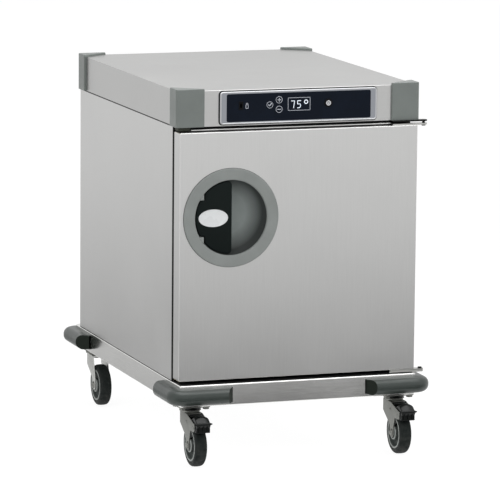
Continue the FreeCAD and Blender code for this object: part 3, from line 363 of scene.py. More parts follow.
class Graph:
    """Adds nodes to one shader tree and links them."""

    def __init__(self, tree: bpy.types.NodeTree) -> None:
        """Start on a tree."""
        self.tree = tree

    def add(self, kind: str, settings: dict | None = None, **inputs: object) -> bpy.types.Node:
        """Add a node.

        Args:
            kind: Type name of the node.
            settings: Values of the node's own properties.
            inputs: Value or source socket of each input, by its name with underscores for spaces.

        Returns:
            The node.
        """
        node = self.tree.nodes.new(kind)
        for key, value in (settings or {}).items():
            setattr(node, key, value)
        self.fill(node.inputs, **inputs)
        return node

    def fill(self, sockets: Inputs, **values: object) -> None:
        """Feed sockets of one node by name, with underscores for spaces."""
        for key, value in values.items():
            self.feed(sockets[key.replace("_", " ")], value)

    def feed(self, socket: Socket, value: object) -> None:
        """Link a socket to a source socket, or give it a plain value."""
        if isinstance(value, Socket):
            self.tree.links.new(value, socket)
        else:
            socket.default_value = value

    def here(self) -> Socket:
        """Object coordinates of the shaded point."""
        return self.add("ShaderNodeTexCoord").outputs["Object"]

    def noise(self, vector: object, scale: object, detail: float, roughness: float = 0.6) -> Socket:
        """Noise value over a vector."""
        node = self.add("ShaderNodeTexNoise", Vector=vector, Scale=scale, Detail=detail, Roughness=roughness)
        return node.outputs["Fac"]

    def ramp(self, value: object, low: object, high: object, start: float = 0.0, end: float = 1.0) -> Socket:
        """Map a value's range from low and high to start and end, and hold it there."""
        return self.add("ShaderNodeMapRange", Value=value, From_Min=low, From_Max=high, To_Min=start,
                        To_Max=end).outputs["Result"]

    def numbered(self, kind: str, settings: dict, *values: object, first: int = 0) -> bpy.types.Node:
        """Add a node whose inputs share names, and feed them in order from the first number on."""
        node = self.add(kind, settings)
        for number, value in enumerate(values, first):
            self.feed(node.inputs[number], value)
        return node

    def sum(self, operation: str, first: object, second: object) -> Socket:
        """One arithmetic step on two values."""
        return self.numbered("ShaderNodeMath", {"operation": operation}, first, second).outputs[0]

    def mix(self, factor: object, first: object, second: object) -> Socket:
        """Mix of two colours; their sockets are the sixth and seventh of the node's inputs."""
        node = self.numbered("ShaderNodeMix", {"data_type": "RGBA"}, first, second, first=6)
        self.feed(node.inputs[0], factor)
        return node.outputs[2]


class Effect(Enum):
    """Shared surface effect, built once as a node group."""

    BRUSHING = "brushing"
    MOULDED_SKIN = "moulded_skin"
    HANDLING = "handling"
    FLOOR_DUST = "floor_dust"


class Effects:
    """Builds and keeps the node groups of the shared surface effects."""

    groups: ClassVar[dict[Effect, bpy.types.NodeTree]] = {}

    @classmethod
    def use(cls, graph: Graph, effect: Effect, **inputs: object) -> dict[str, Socket]:
        """Place an effect in a material with values for its inputs, and give its output sockets."""
        if effect not in cls.groups:
            cls.groups[effect] = getattr(cls, effect.value)()
        return graph.add("ShaderNodeGroup", {"node_tree": cls.groups[effect]}, **inputs).outputs

    @staticmethod
    def _open(effect: Effect, outputs: Sequence[str], **inputs: str) -> tuple:
        """Start the node group of an effect.

        Args:
            effect: Effect that the group makes.
            outputs: Names of its outputs, which are plain values.
            inputs: Kind of each input by its name.

        Returns:
            The group's graph, its input sockets and its output sockets.
        """
        tree = bpy.data.node_groups.new(effect.value, "ShaderNodeTree")
        for key, kind in inputs.items():
            tree.interface.new_socket(key, in_out="INPUT", socket_type="NodeSocket" + kind)
        for key in outputs:
            tree.interface.new_socket(key, in_out="OUTPUT", socket_type="NodeSocketFloat")
        graph = Graph(tree)
        return graph, graph.add("NodeGroupInput").outputs, graph.add("NodeGroupOutput").inputs

    @classmethod
    def brushing(cls) -> bpy.types.NodeTree:
        """Fine parallel scratches, with slow cloudy patches across them."""
        graph, given, out = cls._open(Effect.BRUSHING, ("Tone", "Height"), Stretch="Vector", Density="Float")
        here = graph.here()
        stretched = graph.add("ShaderNodeMapping", Vector=here, Scale=given["Stretch"]).outputs["Vector"]
        fine = graph.noise(stretched, given["Density"], 5.0, 0.7)
        slow = graph.noise(here, 2.6, 2.0)
        both = graph.sum("ADD", graph.sum("MULTIPLY", fine, 0.6), graph.sum("MULTIPLY", slow, 0.4))
        graph.fill(out, Tone=graph.ramp(both, 0.35, 0.65), Height=fine)
        return graph.tree

    @classmethod
    def moulded_skin(cls) -> bpy.types.NodeTree:
        """Spark-eroded mould texture: fine pebbles on a slow change of tone."""
        graph, given, out = cls._open(Effect.MOULDED_SKIN, ("Tone", "Height"), Grain="Float")
        here = graph.here()
        tone = graph.ramp(graph.noise(here, 14.0, 3.0), 0.3, 0.7)
        graph.fill(out, Tone=tone, Height=graph.noise(here, given["Grain"], 2.0, 0.5))
        return graph.tree

    @classmethod
    def handling(cls) -> bpy.types.NodeTree:
        """Soft smudges that wiping and hands leave."""
        graph, given, out = cls._open(Effect.HANDLING, ("Mask",), Scale="Float")
        cloud = graph.noise(graph.here(), given["Scale"], 4.0, 0.55)
        graph.fill(out, Mask=graph.ramp(cloud, 0.48, 0.72))
        return graph.tree

    @classmethod
    def floor_dust(cls) -> bpy.types.NodeTree:
        """Dust that thins out above the floor, broken up by noise."""
        graph, given, out = cls._open(Effect.FLOOR_DUST, ("Mask",), Reach="Float")
        here = graph.here()
        height = graph.add("ShaderNodeSeparateXYZ", Vector=here).outputs["Z"]
        low = graph.ramp(height, 0.0, given["Reach"], 1.0, 0.0)
        patches = graph.ramp(graph.noise(here, 60.0, 5.0), 0.4, 0.7)
        graph.fill(out, Mask=graph.sum("MULTIPLY", low, patches))
        return graph.tree


def colour(code: str, level: float = 1.0) -> tuple[float, float, float, float]:
    """Linear colour of a hex code by the sRGB curve, times a level, with an opacity of 1."""
    shares = np.array([int(code[i:i + 2], 16) for i in (1, 3, 5)]) / 255
    values = np.where(shares <= 0.04045, shares / 12.92, ((shares + 0.055) / 1.055) ** 2.4)
    return (*np.clip(values * level, 0.0, 1.0).tolist(), 1.0)


def new_material(name: str) -> tuple[bpy.types.Material, Graph]:
    """New material and the graph of its nodes."""
    made = bpy.data.materials.new(name)
    made.use_nodes = True
    return made, Graph(made.node_tree)


@dataclass(frozen=True)
class Finish:
    """Look of one material: its colour as a hex code and how rough it is."""

    made: ClassVar[dict[str, bpy.types.Material]] = {}
    name: str
    code: str
    roughness: float

    def material(self) -> bpy.types.Material:
        """Material of this finish, made at its first use."""
        if self.name not in self.made:
            made, graph = new_material("finish_" + self.name)
            self.made[self.name] = made
            made.diffuse_color = colour(self.code)
            self.dress(graph, made.node_tree.nodes["Principled BSDF"].inputs)
        return self.made[self.name]

    def dress(self, graph: Graph, shader: Inputs) -> None:
        """Feed the shader's sockets: the graph of the material, then the sockets."""
        graph.fill(shader, Base_Color=colour(self.code), Roughness=self.roughness)

    def toned(self, graph: Graph, share: Socket, darker: float, lighter: float) -> Socket:
        """Colour of this finish between two levels, by a share."""
        return graph.mix(share, colour(self.code, darker), colour(self.code, lighter))

    @staticmethod
    def overlay(graph: Graph, shader: Inputs, share: Socket, code: str, level: float = 1.0) -> None:
        """Lay a colour over the one that the shader has, by a share."""
        plain = shader["Base Color"].links[0].from_socket
        graph.fill(shader, Base_Color=graph.mix(share, plain, colour(code, level)))

    @staticmethod
    def bump(graph: Graph, shader: Inputs, height: Socket, strength: float, depth: float) -> None:
        """Feed the normal from a height."""
        node = graph.add("ShaderNodeBump", Height=height, Strength=strength, Distance=depth)
        graph.fill(shader, Normal=node.outputs["Normal"])


@dataclass(frozen=True)
class BrushedSheet(Finish):
    """Stainless or zinced steel with a brushed grain."""

    stretch: tuple[float, float, float] = (1.0, 1.0, 0.02)
    density: float = 420.0
    contrast: float = 0.035
    edge_tint: float = 0.8
    rough_spread: float = 0.05
    smudge_scale: float = 5.0
    smudge_rise: float = 0.03
    relief: float = 0.05
    depth: float = 0.0004

    def dress(self, graph: Graph, shader: Inputs) -> None:
        """Grain in colour, roughness and height, with smudges in the roughness."""
        grain = Effects.use(graph, Effect.BRUSHING, Stretch=self.stretch, Density=self.density)
        marks = Effects.use(graph, Effect.HANDLING, Scale=self.smudge_scale)["Mask"]
        tone, spread = grain["Tone"], self.rough_spread
        rough = graph.ramp(tone, 0.0, 1.0, self.roughness - spread, self.roughness + spread)
        rough = graph.sum("ADD", rough, graph.sum("MULTIPLY", marks, self.smudge_rise))
        graph.fill(shader, Base_Color=self.toned(graph, tone, 1 - self.contrast, 1 + self.contrast),
                   Roughness=rough, Metallic=1.0, Specular_Tint=(*[self.edge_tint] * 3, 1.0))
        self.bump(graph, shader, grain["Height"], self.relief, self.depth)


@dataclass(frozen=True)
class Moulded(Finish):
    """Injection-moulded plastic with a fine mould texture."""

    grain: float = 900.0
    relief: float = 0.12
    contrast: float = 0.06
    gloss: float = 0.5
    smudge_scale: float = 16.0
    smudge_fall: float = 0.08
    depth: float = 0.0003

    def dress(self, graph: Graph, shader: Inputs) -> None:
        """Pebbled height, slow tone in the colour and smudges in the roughness."""
        skin_group = Effects.use(graph, Effect.MOULDED_SKIN, Grain=self.grain)
        marks = Effects.use(graph, Effect.HANDLING, Scale=self.smudge_scale)["Mask"]
        rough = graph.ramp(marks, 0.0, 1.0, self.roughness, self.roughness - self.smudge_fall)
        tone = self.toned(graph, skin_group["Tone"], 1 - self.contrast, 1 + self.contrast)
        graph.fill(shader, Base_Color=tone, Roughness=rough, Specular_IOR_Level=self.gloss)
        self.bump(graph, shader, skin_group["Height"], self.relief, self.depth)


@dataclass(frozen=True)
class PaintedShadeDish(Moulded):
    """Moulded plastic of a bowl with painted shade: darker towards its corner, where the bowl's own shade
    falls.
    """

    centre: tuple[float, float, float] = (0.0, 0.0, 0.0)
    unshaded_radius: float = 0.061
    full_shade_radius: float = 0.106
    painted_shade_level: float = 0.13

    def dress(self, graph: Graph, shader: Inputs) -> None:
        """Moulded look, with painted shade: the colour darkened by the distance from the bowl's unshaded
        centre.
        """
        super().dress(graph, shader)
        # Painted shade: the colour darkens from the unshaded radius out to the full-shade radius.
        away = graph.numbered("ShaderNodeVectorMath", {"operation": "DISTANCE"}, graph.here(), self.centre)
        share = graph.ramp(away.outputs["Value"], self.unshaded_radius, self.full_shade_radius)
        self.overlay(graph, shader, share, self.code, self.painted_shade_level)


@dataclass(frozen=True)
class Rubber(Moulded):
    """Black or grey rubber that picks up dust near the floor."""

    dust_code: str = "#6E6E6A"
    dust_reach: float = 0.12
    dust_share: float = 0.25

    def dress(self, graph: Graph, shader: Inputs) -> None:
        """Moulded look, with dust over the colour."""
        super().dress(graph, shader)
        dust = Effects.use(graph, Effect.FLOOR_DUST, Reach=self.dust_reach)["Mask"]
        self.overlay(graph, shader, graph.sum("MULTIPLY", dust, self.dust_share), self.dust_code)


@dataclass(frozen=True)
class Glazed(Finish):
    """Dark panel glass or gloss lens with faint wiping marks."""

    smudge_scale: float = 22.0
    smudge_level: float = 1.25
    smudge_rise: float = 0.08
    gloss: float = 0.08

    def dress(self, graph: Graph, shader: Inputs) -> None:
        """Dark ground; the marks change the roughness and the colour a little."""
        marks = Effects.use(graph, Effect.HANDLING, Scale=self.smudge_scale)["Mask"]
        rough = graph.ramp(marks, 0.0, 1.0, self.roughness, self.roughness + self.smudge_rise)
        graph.fill(shader, Base_Color=self.toned(graph, marks, 1.0, self.smudge_level), Roughness=rough,
                   Specular_IOR_Level=self.gloss)


@dataclass(frozen=True)
class Printed(Finish):
    """White print or lit segments on the panel."""

    glow: float = 0.0
    grain: float = 1500.0
    thin_level: float = 0.94

    def dress(self, graph: Graph, shader: Inputs) -> None:
        """Slightly uneven ink, lit from behind where it glows."""
        tone = Effects.use(graph, Effect.MOULDED_SKIN, Grain=self.grain)["Tone"]
        ink = self.toned(graph, tone, self.thin_level, 1.0)
        graph.fill(shader, Base_Color=ink, Roughness=self.roughness, Emission_Color=ink,
                   Emission_Strength=self.glow)


@dataclass(frozen=True)
class Fibre(Finish):
    """Mineral wool: matted fibres of mixed tone."""

    strand_scale: float = 180.0
    relief: float = 0.6
    depth: float = 0.002

    def dress(self, graph: Graph, shader: Inputs) -> None:
        """Fine noise for the strands, with deep height."""
        strands = graph.noise(graph.here(), self.strand_scale, 8.0, 0.75)
        graph.fill(shader, Base_Color=self.toned(graph, strands, 0.6, 1.15), Roughness=self.roughness)
        self.bump(graph, shader, strands, self.relief, self.depth)


def bowl_unshaded_centre(left: float = 0.004, up: float = 0.008, wall: float = 0.0025) -> tuple[float, float, float]:
    """Centre of the bowl's painted shade, where none is painted: on its bottom, a little left of its axis and
    above it.
    """
    cup = Box("handle_cup")
    return cup.x - left, cup.y1 - wall, cup.z + up


ACROSS = (0.03, 1.0, 1.0)
EVEN = (1.0, 1.0, 1.0)
ROLLED = (1.0, 1.0, 0.4)
STEEL = BrushedSheet("brushed_stainless", "#CDCDCC", 0.34)
STEEL_TOP = BrushedSheet("brushed_stainless_lid", "#BEBEBD", 0.34, stretch=(0.02, 1.0, 1.0))
STEEL_CHASSIS = BrushedSheet("brushed_stainless_chassis", "#EEEEEC", 0.17, stretch=(0.05, 0.05, 1.0))
STEEL_INNER = BrushedSheet("liner_stainless", "#B4B6B6", 0.3, stretch=(1.0, 0.03, 1.0), density=300.0)
HINGE_STEEL = BrushedSheet("hinge_stainless", "#BDBDBA", 0.3, stretch=(0.05, 1.0, 1.0), density=700.0)
ZINC = BrushedSheet("zinced_castor_steel", "#878884", 0.4, stretch=ROLLED, density=160.0, contrast=0.12)
# Lighter copy of the castor zinc for the rear forks: painted light where more light falls on them.
ZINC_PAINTED_LIGHT = BrushedSheet("bright_zinced_steel", "#CFD0CD", 0.4, stretch=ROLLED, density=160.0, contrast=0.1)
BLACKED = BrushedSheet("blacked_steel", "#262726", 0.42, stretch=ROLLED, density=300.0, contrast=0.1)
# Paler copy of the bezel silver: painted highlight on the bezel's rounded rim.
SILVER_PAINTED_HIGHLIGHT = BrushedSheet("bezel_rim_silver", "#C2C3C5", 0.3, stretch=ACROSS, density=900.0)
SILVER = BrushedSheet("bezel_silver", "#999CA2", 0.38, stretch=ACROSS, density=900.0)
CHROME = BrushedSheet("button_chrome", "#C9C9CB", 0.18, density=900.0)
ALLOY = BrushedSheet("impeller_alloy", "#BFC1C2", 0.35, stretch=EVEN, density=220.0)
HEATER = BrushedSheet("heater_sheath", "#6B6058", 0.5, stretch=EVEN, density=260.0, contrast=0.2)
CORE = Moulded("wheel_core_plastic", "#3F4442", 0.5, gloss=0.25)
# Paler copy of the wheel core's plastic: painted highlight for the rim and hub rings.
RIM_PAINTED_HIGHLIGHT = Moulded("wheel_rim_plastic", "#9EA29F", 0.45, gloss=0.3)
TYRE = Rubber("tyre_rubber", "#161B1A", 0.66, grain=500.0, gloss=0.15)
PEDAL = Moulded("pedal_plastic", "#060908", 0.34, grain=700.0, gloss=0.3)
BUMPER = Rubber("bumper_rubber", "#313835", 0.36, grain=600.0, dust_reach=0.24, dust_share=0.08, gloss=0.5)
CUT_RUBBER = Moulded("bumper_cut_rubber", "#1A201B", 0.62, grain=600.0, gloss=0.15)
CAP = Moulded("cap_plastic", "#696F6C", 0.42, gloss=0.62)
CUP = Moulded("cup_plastic", "#838785", 0.5, gloss=0.25)
# Bowl: a lighter copy of the ring's plastic (painted light), with painted shade towards its rim.
BOWL_PAINTED_LIGHT_AND_SHADE = PaintedShadeDish("bowl_plastic", "#888F8D", 0.5, gloss=0.2, centre=bowl_unshaded_centre())
LEVER = Moulded("lever_plastic", "#0F1615", 0.42, gloss=0.1)
# Black rubber of the door gasket and the bumper backing; also painted shade on the edge seals and the drip
# rail's channel.
GASKET_AND_PAINTED_SHADE = Moulded("gasket_rubber", "#101111", 0.6, gloss=0.2)
PAD = Rubber("rest_pad_rubber", "#33362F", 0.6, grain=400.0, gloss=0.2)
SOCKET = Moulded("socket_plastic", "#0B0C0E", 0.5, gloss=0.1)
MOTOR = Moulded("motor_paint", "#3E4145", 0.45, grain=260.0)
BOARD = Moulded("circuit_board", "#1B5A35", 0.4, grain=1200.0)
BADGE = Moulded("badge_enamel", "#D5D7D8", 0.3, relief=0.03, contrast=0.02)
GLASS = Glazed("panel_glass", "#0B121D", 0.12)
KEY = Glazed("key_cap", "#111822", 0.2)
PRINT = Printed("panel_print", "#C9CDD6", 0.5)
DIGITS = Printed("display_digits", "#DDE4EC", 0.5, glow=0.45)
# Near-black seal finish: painted shade for the gaps round the bezel and under the handle's brim.
PAINTED_SHADE_SEAL = Moulded("bezel_seal", "#191D1F", 0.6, gloss=0.1)
WOOL = Fibre("mineral_wool", "#D8C68C", 0.95)

SLOT_FINISHES = {
    "stainless_outer": STEEL, "stainless_inner": STEEL_INNER, "hinge_steel": HINGE_STEEL, "zinc_steel": ZINC,
    "wheel_core": CORE, "tyre_rubber": TYRE, "pedal_plastic": PEDAL, "bumper_rubber": BUMPER,
    "cap_plastic": CAP, "cup_plastic": CUP, "lever_plastic": LEVER, "insulation": WOOL,
    "gasket_rubber": GASKET_AND_PAINTED_SHADE, "bezel_silver": SILVER, "panel_glass": GLASS, "key_plastic": KEY,
    "button_metal": CHROME, "socket_plastic": SOCKET, "circuit_board": BOARD, "motor_paint": MOTOR,
    "impeller_alloy": ALLOY, "heater_steel": HEATER,
}


def plain_object(name: str, shell: Shell) -> bpy.types.Object:
    """Object of a shell, with a mesh of the same name, at the origin and linked to the scene."""
    mesh = bpy.data.meshes.new(name)
    mesh.from_pydata(shell.points.tolist(), [], shell.faces)
    made = bpy.data.objects.new(name, mesh)
    bpy.context.scene.collection.objects.link(made)
    return made


@dataclass
class Piece:
    """One finished piece: its shell, its finish, the body it rides on and the nodes it stands for."""

    name: str
    shell: Shell
    finish: Finish
    slot: str
    body: str = "root"
    stands_for: tuple[str, ...] = ()
    sharp_angle: float = 32.0

    def make(self) -> None:
        """Make the object with outward faces, smooth but for its sharp edges, and fit it to the frame."""
        made = plain_object(self.name, self.shell)
        mesh = made.data
        work = bmesh.new()
        work.from_mesh(mesh)
        bmesh.ops.remove_doubles(work, verts=work.verts, dist=MERGE_DISTANCE)
        bmesh.ops.recalc_face_normals(work, faces=work.faces)
        work.to_mesh(mesh)
        work.free()
        mesh.polygons.foreach_set("use_smooth", np.ones(len(mesh.polygons), dtype=bool))
        mesh.set_sharp_from_angle(angle=math.radians(self.sharp_angle))
        mesh.materials.append(self.finish.material())
        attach(made, self.body)
        if self.stands_for:
            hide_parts(*self.stands_for)
        LOG.info("%s: %d faces on %s", self.name, len(mesh.polygons), self.body)


@dataclass
class Castor:
    """Swivel castor: tyre, wheel core, pressed fork, races and, at the front, a brake pedal.

    The tyre's foot is given as (in from the wall, out from the rim), its step as (in from the wall, in from
    the tread).
    """

    corner: Corner
    trail: float = 0.042
    shoulder: float = 0.009
    crown: float = 0.0006
    tread_clear: float = 0.00005
    tread_start: float = 0.002
    wall_step: float = 0.0007
    tyre_foot: tuple = ((0.0012, 0.0), (0.0, 0.0015))
    tyre_step: tuple = ((0.0, 0.0135), (0.0007, 0.0128), (0.0007, 0.0105))
    rim_radius: float = 0.0475
    rim_half: float = 0.016
    rim_wall: float = 0.007
    rim_bead: float = 0.0008
    rim_round: float = 0.002
    web_half: float = 0.006
    web_flare: float = 0.003
    web_fillet: float = 0.004
    web_dish: float = 0.001
    hub_radius: float = 0.021
    hub_half: float = 0.0207
    hub_bevel: float = 0.0035
    core_radii: tuple = (0.0006, 0.0015, 0.004, 0.004, 0.003, 0.0008, 0.0008, 0.0004)
    bore: float = 0.00605
    lip: float = 0.0029
    lip_sink: float = 0.0006
    cover: float = 0.0024
    cover_inset: float = 0.0022
    cover_sink: float = 0.0028
    leg_inner: float = 0.021
    leg_outer: float = 0.024
    leg_half: float = 0.014
    leg_neck: float = 0.020
    leg_fillet: float = 0.006
    crown_front: float = 0.034
    crown_rear: float = 0.028
    crown_edge: float = 0.001
    crown_fillet: float = 0.002
    crown_sheet: float = 0.004
    shoulder_drop: float = 0.034
    pivot_ahead: float = 0.048
    pivot_rise: float = 0.0585
    lobe: float = 0.012
    lobe_step: float = 0.008
    lobe_fillet: float = 0.003
    edge: float = 0.0013
    rivet_ahead: float = 0.030
    rivet_drop: float = 0.022
    rivet_radius: float = 0.0045
    rivet_height: float = 0.0022
    housing_front: float = 0.008
    housing_rear: float = 0.010
    housing_drop: float = 0.0145
    housing_gap: float = 0.0006
    housing_clear: float = 0.0012
    housing_edge: float = 0.0015
    housing_corner: float = 0.004
    race_height: float = 0.008
    race_radius: float = 0.029
    race_bore: float = 0.0065
    race_bead: float = 0.002
    race_profile: tuple = ((0.0, 0.004), (0.003, 0.003))
    race_lip: float = 0.0006
    race_land: float = 0.006
    bead_drop: float = 0.0022
    rod_radius: float = 0.006
    washer: float = 0.0012
    washer_radius: float = 0.0112
    washer_width: float = 0.0052
    head_radius: float = 0.0092
    head_height: float = 0.0048
    nut_width: float = 0.0165
    nut_end: float = 0.006
    nut_edge: float = 0.0008

    def __post_init__(self) -> None:
        """Read the axle and the fork's height off the frame."""
        self.name = "castor_" + self.corner.tag
        tyre = Box(self.name + "_tyre")
        self.x, self.axle_y, self.radius, self.half = tyre.x, tyre.y, tyre.half_z, tyre.half_x
        self.axle = (self.axle_y, self.radius)
        self.swivel_y = self.axle_y + self.trail
        self.race_top = Box(self.name + "_fork").z1
        self.crown_top = self.race_top - self.race_height
        self.pivot = (self.axle_y - self.pivot_ahead, self.radius + self.pivot_rise)
        self.braked = self.corner.end < 0
        self.swivel, self.roll = self.name + "_swivel", self.name + "_wheel"

    def build(self) -> list[Piece]:
        """All pieces of this castor."""
        pieces = [self.tyre(), self.core(), self.rim_line(), self.fork(), self.race(), self.axle_bolt()]
        if self.braked:
            pieces += [BrakePedal(self).build(), self.housing()]
        return pieces

    def tyre(self) -> Piece:
        """Tyre turned about the axle: a crowned tread, round shoulders and a shallow step on each side wall.

        The tread's radius falls from its middle as the square of the distance.
        """
        wall, radius, shoulder = self.half, self.radius, self.shoulder
        side = [(inward - wall, self.rim_radius + out) for inward, out in self.tyre_foot]
        side += [(inward - wall, radius - under) for inward, under in self.tyre_step]
        bend = arc((shoulder + self.wall_step - wall, radius - shoulder - self.crown), shoulder, 180, 90)
        tread = np.linspace(shoulder + self.tread_start - wall, 0.0, 6)
        top = radius - self.tread_clear - self.crown * (tread / (wall - shoulder)) ** 2
        half = np.concatenate([side, bend, np.stack([tread, top], axis=-1)])
        profile = np.concatenate([half, half[-2::-1] * (-1, 1)])
        shell = turned(Axis.X, self.axle, profile + (self.x, 0.0), closed=True)
        return Piece(self.name + "_tyre_tread", shell, TYRE, "tyre_rubber", self.roll, (self.name + "_tyre",))

    def core(self) -> Piece:
        """Wheel core: rim, dished web and hub as one rounded section, turned about the axle."""
        inner, hub, web, rim = self.rim_radius - self.rim_wall, self.hub_half, self.web_half, self.rim_half
        half = [(-hub, self.bore), (-hub, self.hub_radius - self.hub_bevel),
                (-web - self.web_flare, self.hub_radius), (-web, self.hub_radius + self.web_fillet),
                (-web - self.web_dish, inner - self.web_flare), (-rim, inner),
                (-rim - self.rim_bead, inner + self.rim_round), (-rim, self.rim_radius)]
        corners = half + [(-u, v) for u, v in reversed(half)]
        profile = rounded(corners, self.core_radii + self.core_radii[::-1], 4)
        shell = turned(Axis.X, self.axle, profile + (self.x, 0.0), closed=True)
        return Piece(self.name + "_wheel_core", shell, CORE, "wheel_core", self.roll, (self.name + "_wheel",))

    def rim_line(self) -> Piece:
        """Rounded rings on each face of the wheel, the tyre's lip and a hub cover, pale as a painted
        highlight.
        """
        places = ((self.rim_half - self.lip_sink, self.rim_radius - self.lip, self.lip),
                  (self.hub_half - self.cover_sink, self.hub_radius - self.cover_inset, self.cover))
        lips = [turned(Axis.X, self.axle, arc((self.x + side * out, radius), size, 0, 330, 11), closed=True)
                for side in (-1, 1) for out, radius, size in places]
        return Piece(self.name + "_rim_lip", join(*lips), RIM_PAINTED_HIGHLIGHT, "wheel_core", self.roll)

    def leg_outline(self) -> np.ndarray:
        """Side outline of a fork leg: shoulders under the crown, a waist and a round toe about the axle."""
        y, z = self.axle
        rear, front, fillet = self.swivel_y + self.crown_rear, y - self.leg_half, self.leg_fillet
        outline = [(rear, self.crown_top), (self.swivel_y - self.crown_front, self.crown_top)]
        radii = [self.crown_fillet, fillet]
        if self.braked:
            nose, pivot_z = self.pivot[0] - self.lobe, self.pivot[1]
            outline += [(nose, pivot_z + self.lobe), (nose, pivot_z - self.lobe)]
            outline += [(front - self.lobe_step, pivot_z - self.lobe)]
            radii += [self.lobe * NEARLY_HALF] * 2 + [self.lobe_fillet]
        outline += [(front, z + self.leg_neck), (front, z - self.leg_half)]
        outline += [(y + self.leg_half, z - self.leg_half), (y + self.leg_half, z + self.leg_neck)]
        outline += [(rear, self.crown_top - self.shoulder_drop)]
        radii += [fillet] + [self.leg_half * NEARLY_HALF] * 2 + [fillet, fillet]
        return rounded(outline, radii, 8)

    def fork(self) -> Piece:
        """Pressed fork: two legs with rolled edges, the crown between them and rivet heads on the legs."""
        outline, inner = self.leg_outline(), self.leg_inner
        rivets = [(self.swivel_y - self.rivet_ahead, self.crown_top - self.rivet_drop)]
        rivets += [self.pivot] if self.braked else []
        shells = []
        for side in (-1, 1):
            out = self.x + side * self.leg_outer
            low, high = sorted((self.x + side * inner, out))
            shells.append(slab(Axis.X, low, high, outline, self.edge, self.edge))
            shells += [dome(Axis.X, out, side * self.rivet_height, place, self.rivet_radius)
                       for place in rivets]
        crown = rectangle(self.x - inner, self.x + inner, self.swivel_y - self.crown_front + self.crown_edge,
                          self.swivel_y + self.crown_rear - self.crown_edge, self.crown_edge)
        low, high = self.crown_top - self.crown_sheet, self.crown_top
        shells.append(slab(Axis.Z, low, high, crown, self.edge, self.edge))
        # Rear forks take the lighter zinc copy: painted light, since the same steel catches more light at the
        # rear.
        finish = ZINC if self.braked else ZINC_PAINTED_LIGHT
        return Piece(self.name + "_pressed_fork", join(*shells), finish, "zinc_steel", self.swivel,
                     (self.name + "_fork",))

    def housing(self) -> Piece:
        """Spring housing of the brake, a block with soft edges under the crown between the legs."""
        half, top = self.leg_inner - self.housing_clear, self.crown_top
        outline = rectangle(self.axle_y - self.housing_front, self.axle_y + self.housing_rear,
                            top - self.housing_drop, top - self.housing_gap, self.housing_corner)
        shell = slab(Axis.X, self.x - half, self.x + half, outline, self.housing_edge, self.housing_edge)
        return Piece(self.name + "_spring_housing", shell, PEDAL, "pedal_plastic", self.swivel)

    def race(self) -> Piece:
        """Lower swivel race: a rolled cup with a bead at its rim, turned about the swivel axis."""
        top, base, wide, bead = self.race_top, self.crown_top, self.race_radius, self.race_bead
        profile = [(base, self.race_bore)] + [(base + up, wide - under) for up, under in self.race_profile]
        profile += arc((top - self.bead_drop, wide - bead), bead, -150, 90, 8).tolist()
        profile += [(top - self.race_lip, wide - self.race_land), (top - self.race_lip, self.race_bore)]
        shell = turned(Axis.Z, (self.x, self.swivel_y), profile, closed=True, steps=64)
        return Piece(self.name + "_swivel_race", shell, ZINC, "zinc_steel", self.swivel)

    def axle_bolt(self) -> Piece:
        """Axle with a domed head at the outside, a washer at each end and a hexagon nut at the inside."""
        left, right = self.x - self.leg_outer, self.x + self.leg_outer
        rod, thick = self.rod_radius, self.washer
        shell = turned(Axis.X, self.axle, [(left, 0.0), (left, rod), (right, rod), (right, 0.0)], steps=32)
        head = dome(Axis.X, left - thick, -self.head_height, self.axle, self.head_radius)
        flats = hexagon(self.axle, self.nut_width)
        nut = slab(Axis.X, right + thick, right + self.nut_end, flats, 0.0, self.nut_edge)
        washers = [ring(Axis.X, start, start + thick, self.axle, self.washer_radius, self.washer_width)
                   for start in (left - thick, right)]
        shell = join(shell, head, nut, *washers)
        return Piece(self.name + "_axle_bolt", shell, ZINC, "zinc_steel", self.swivel)


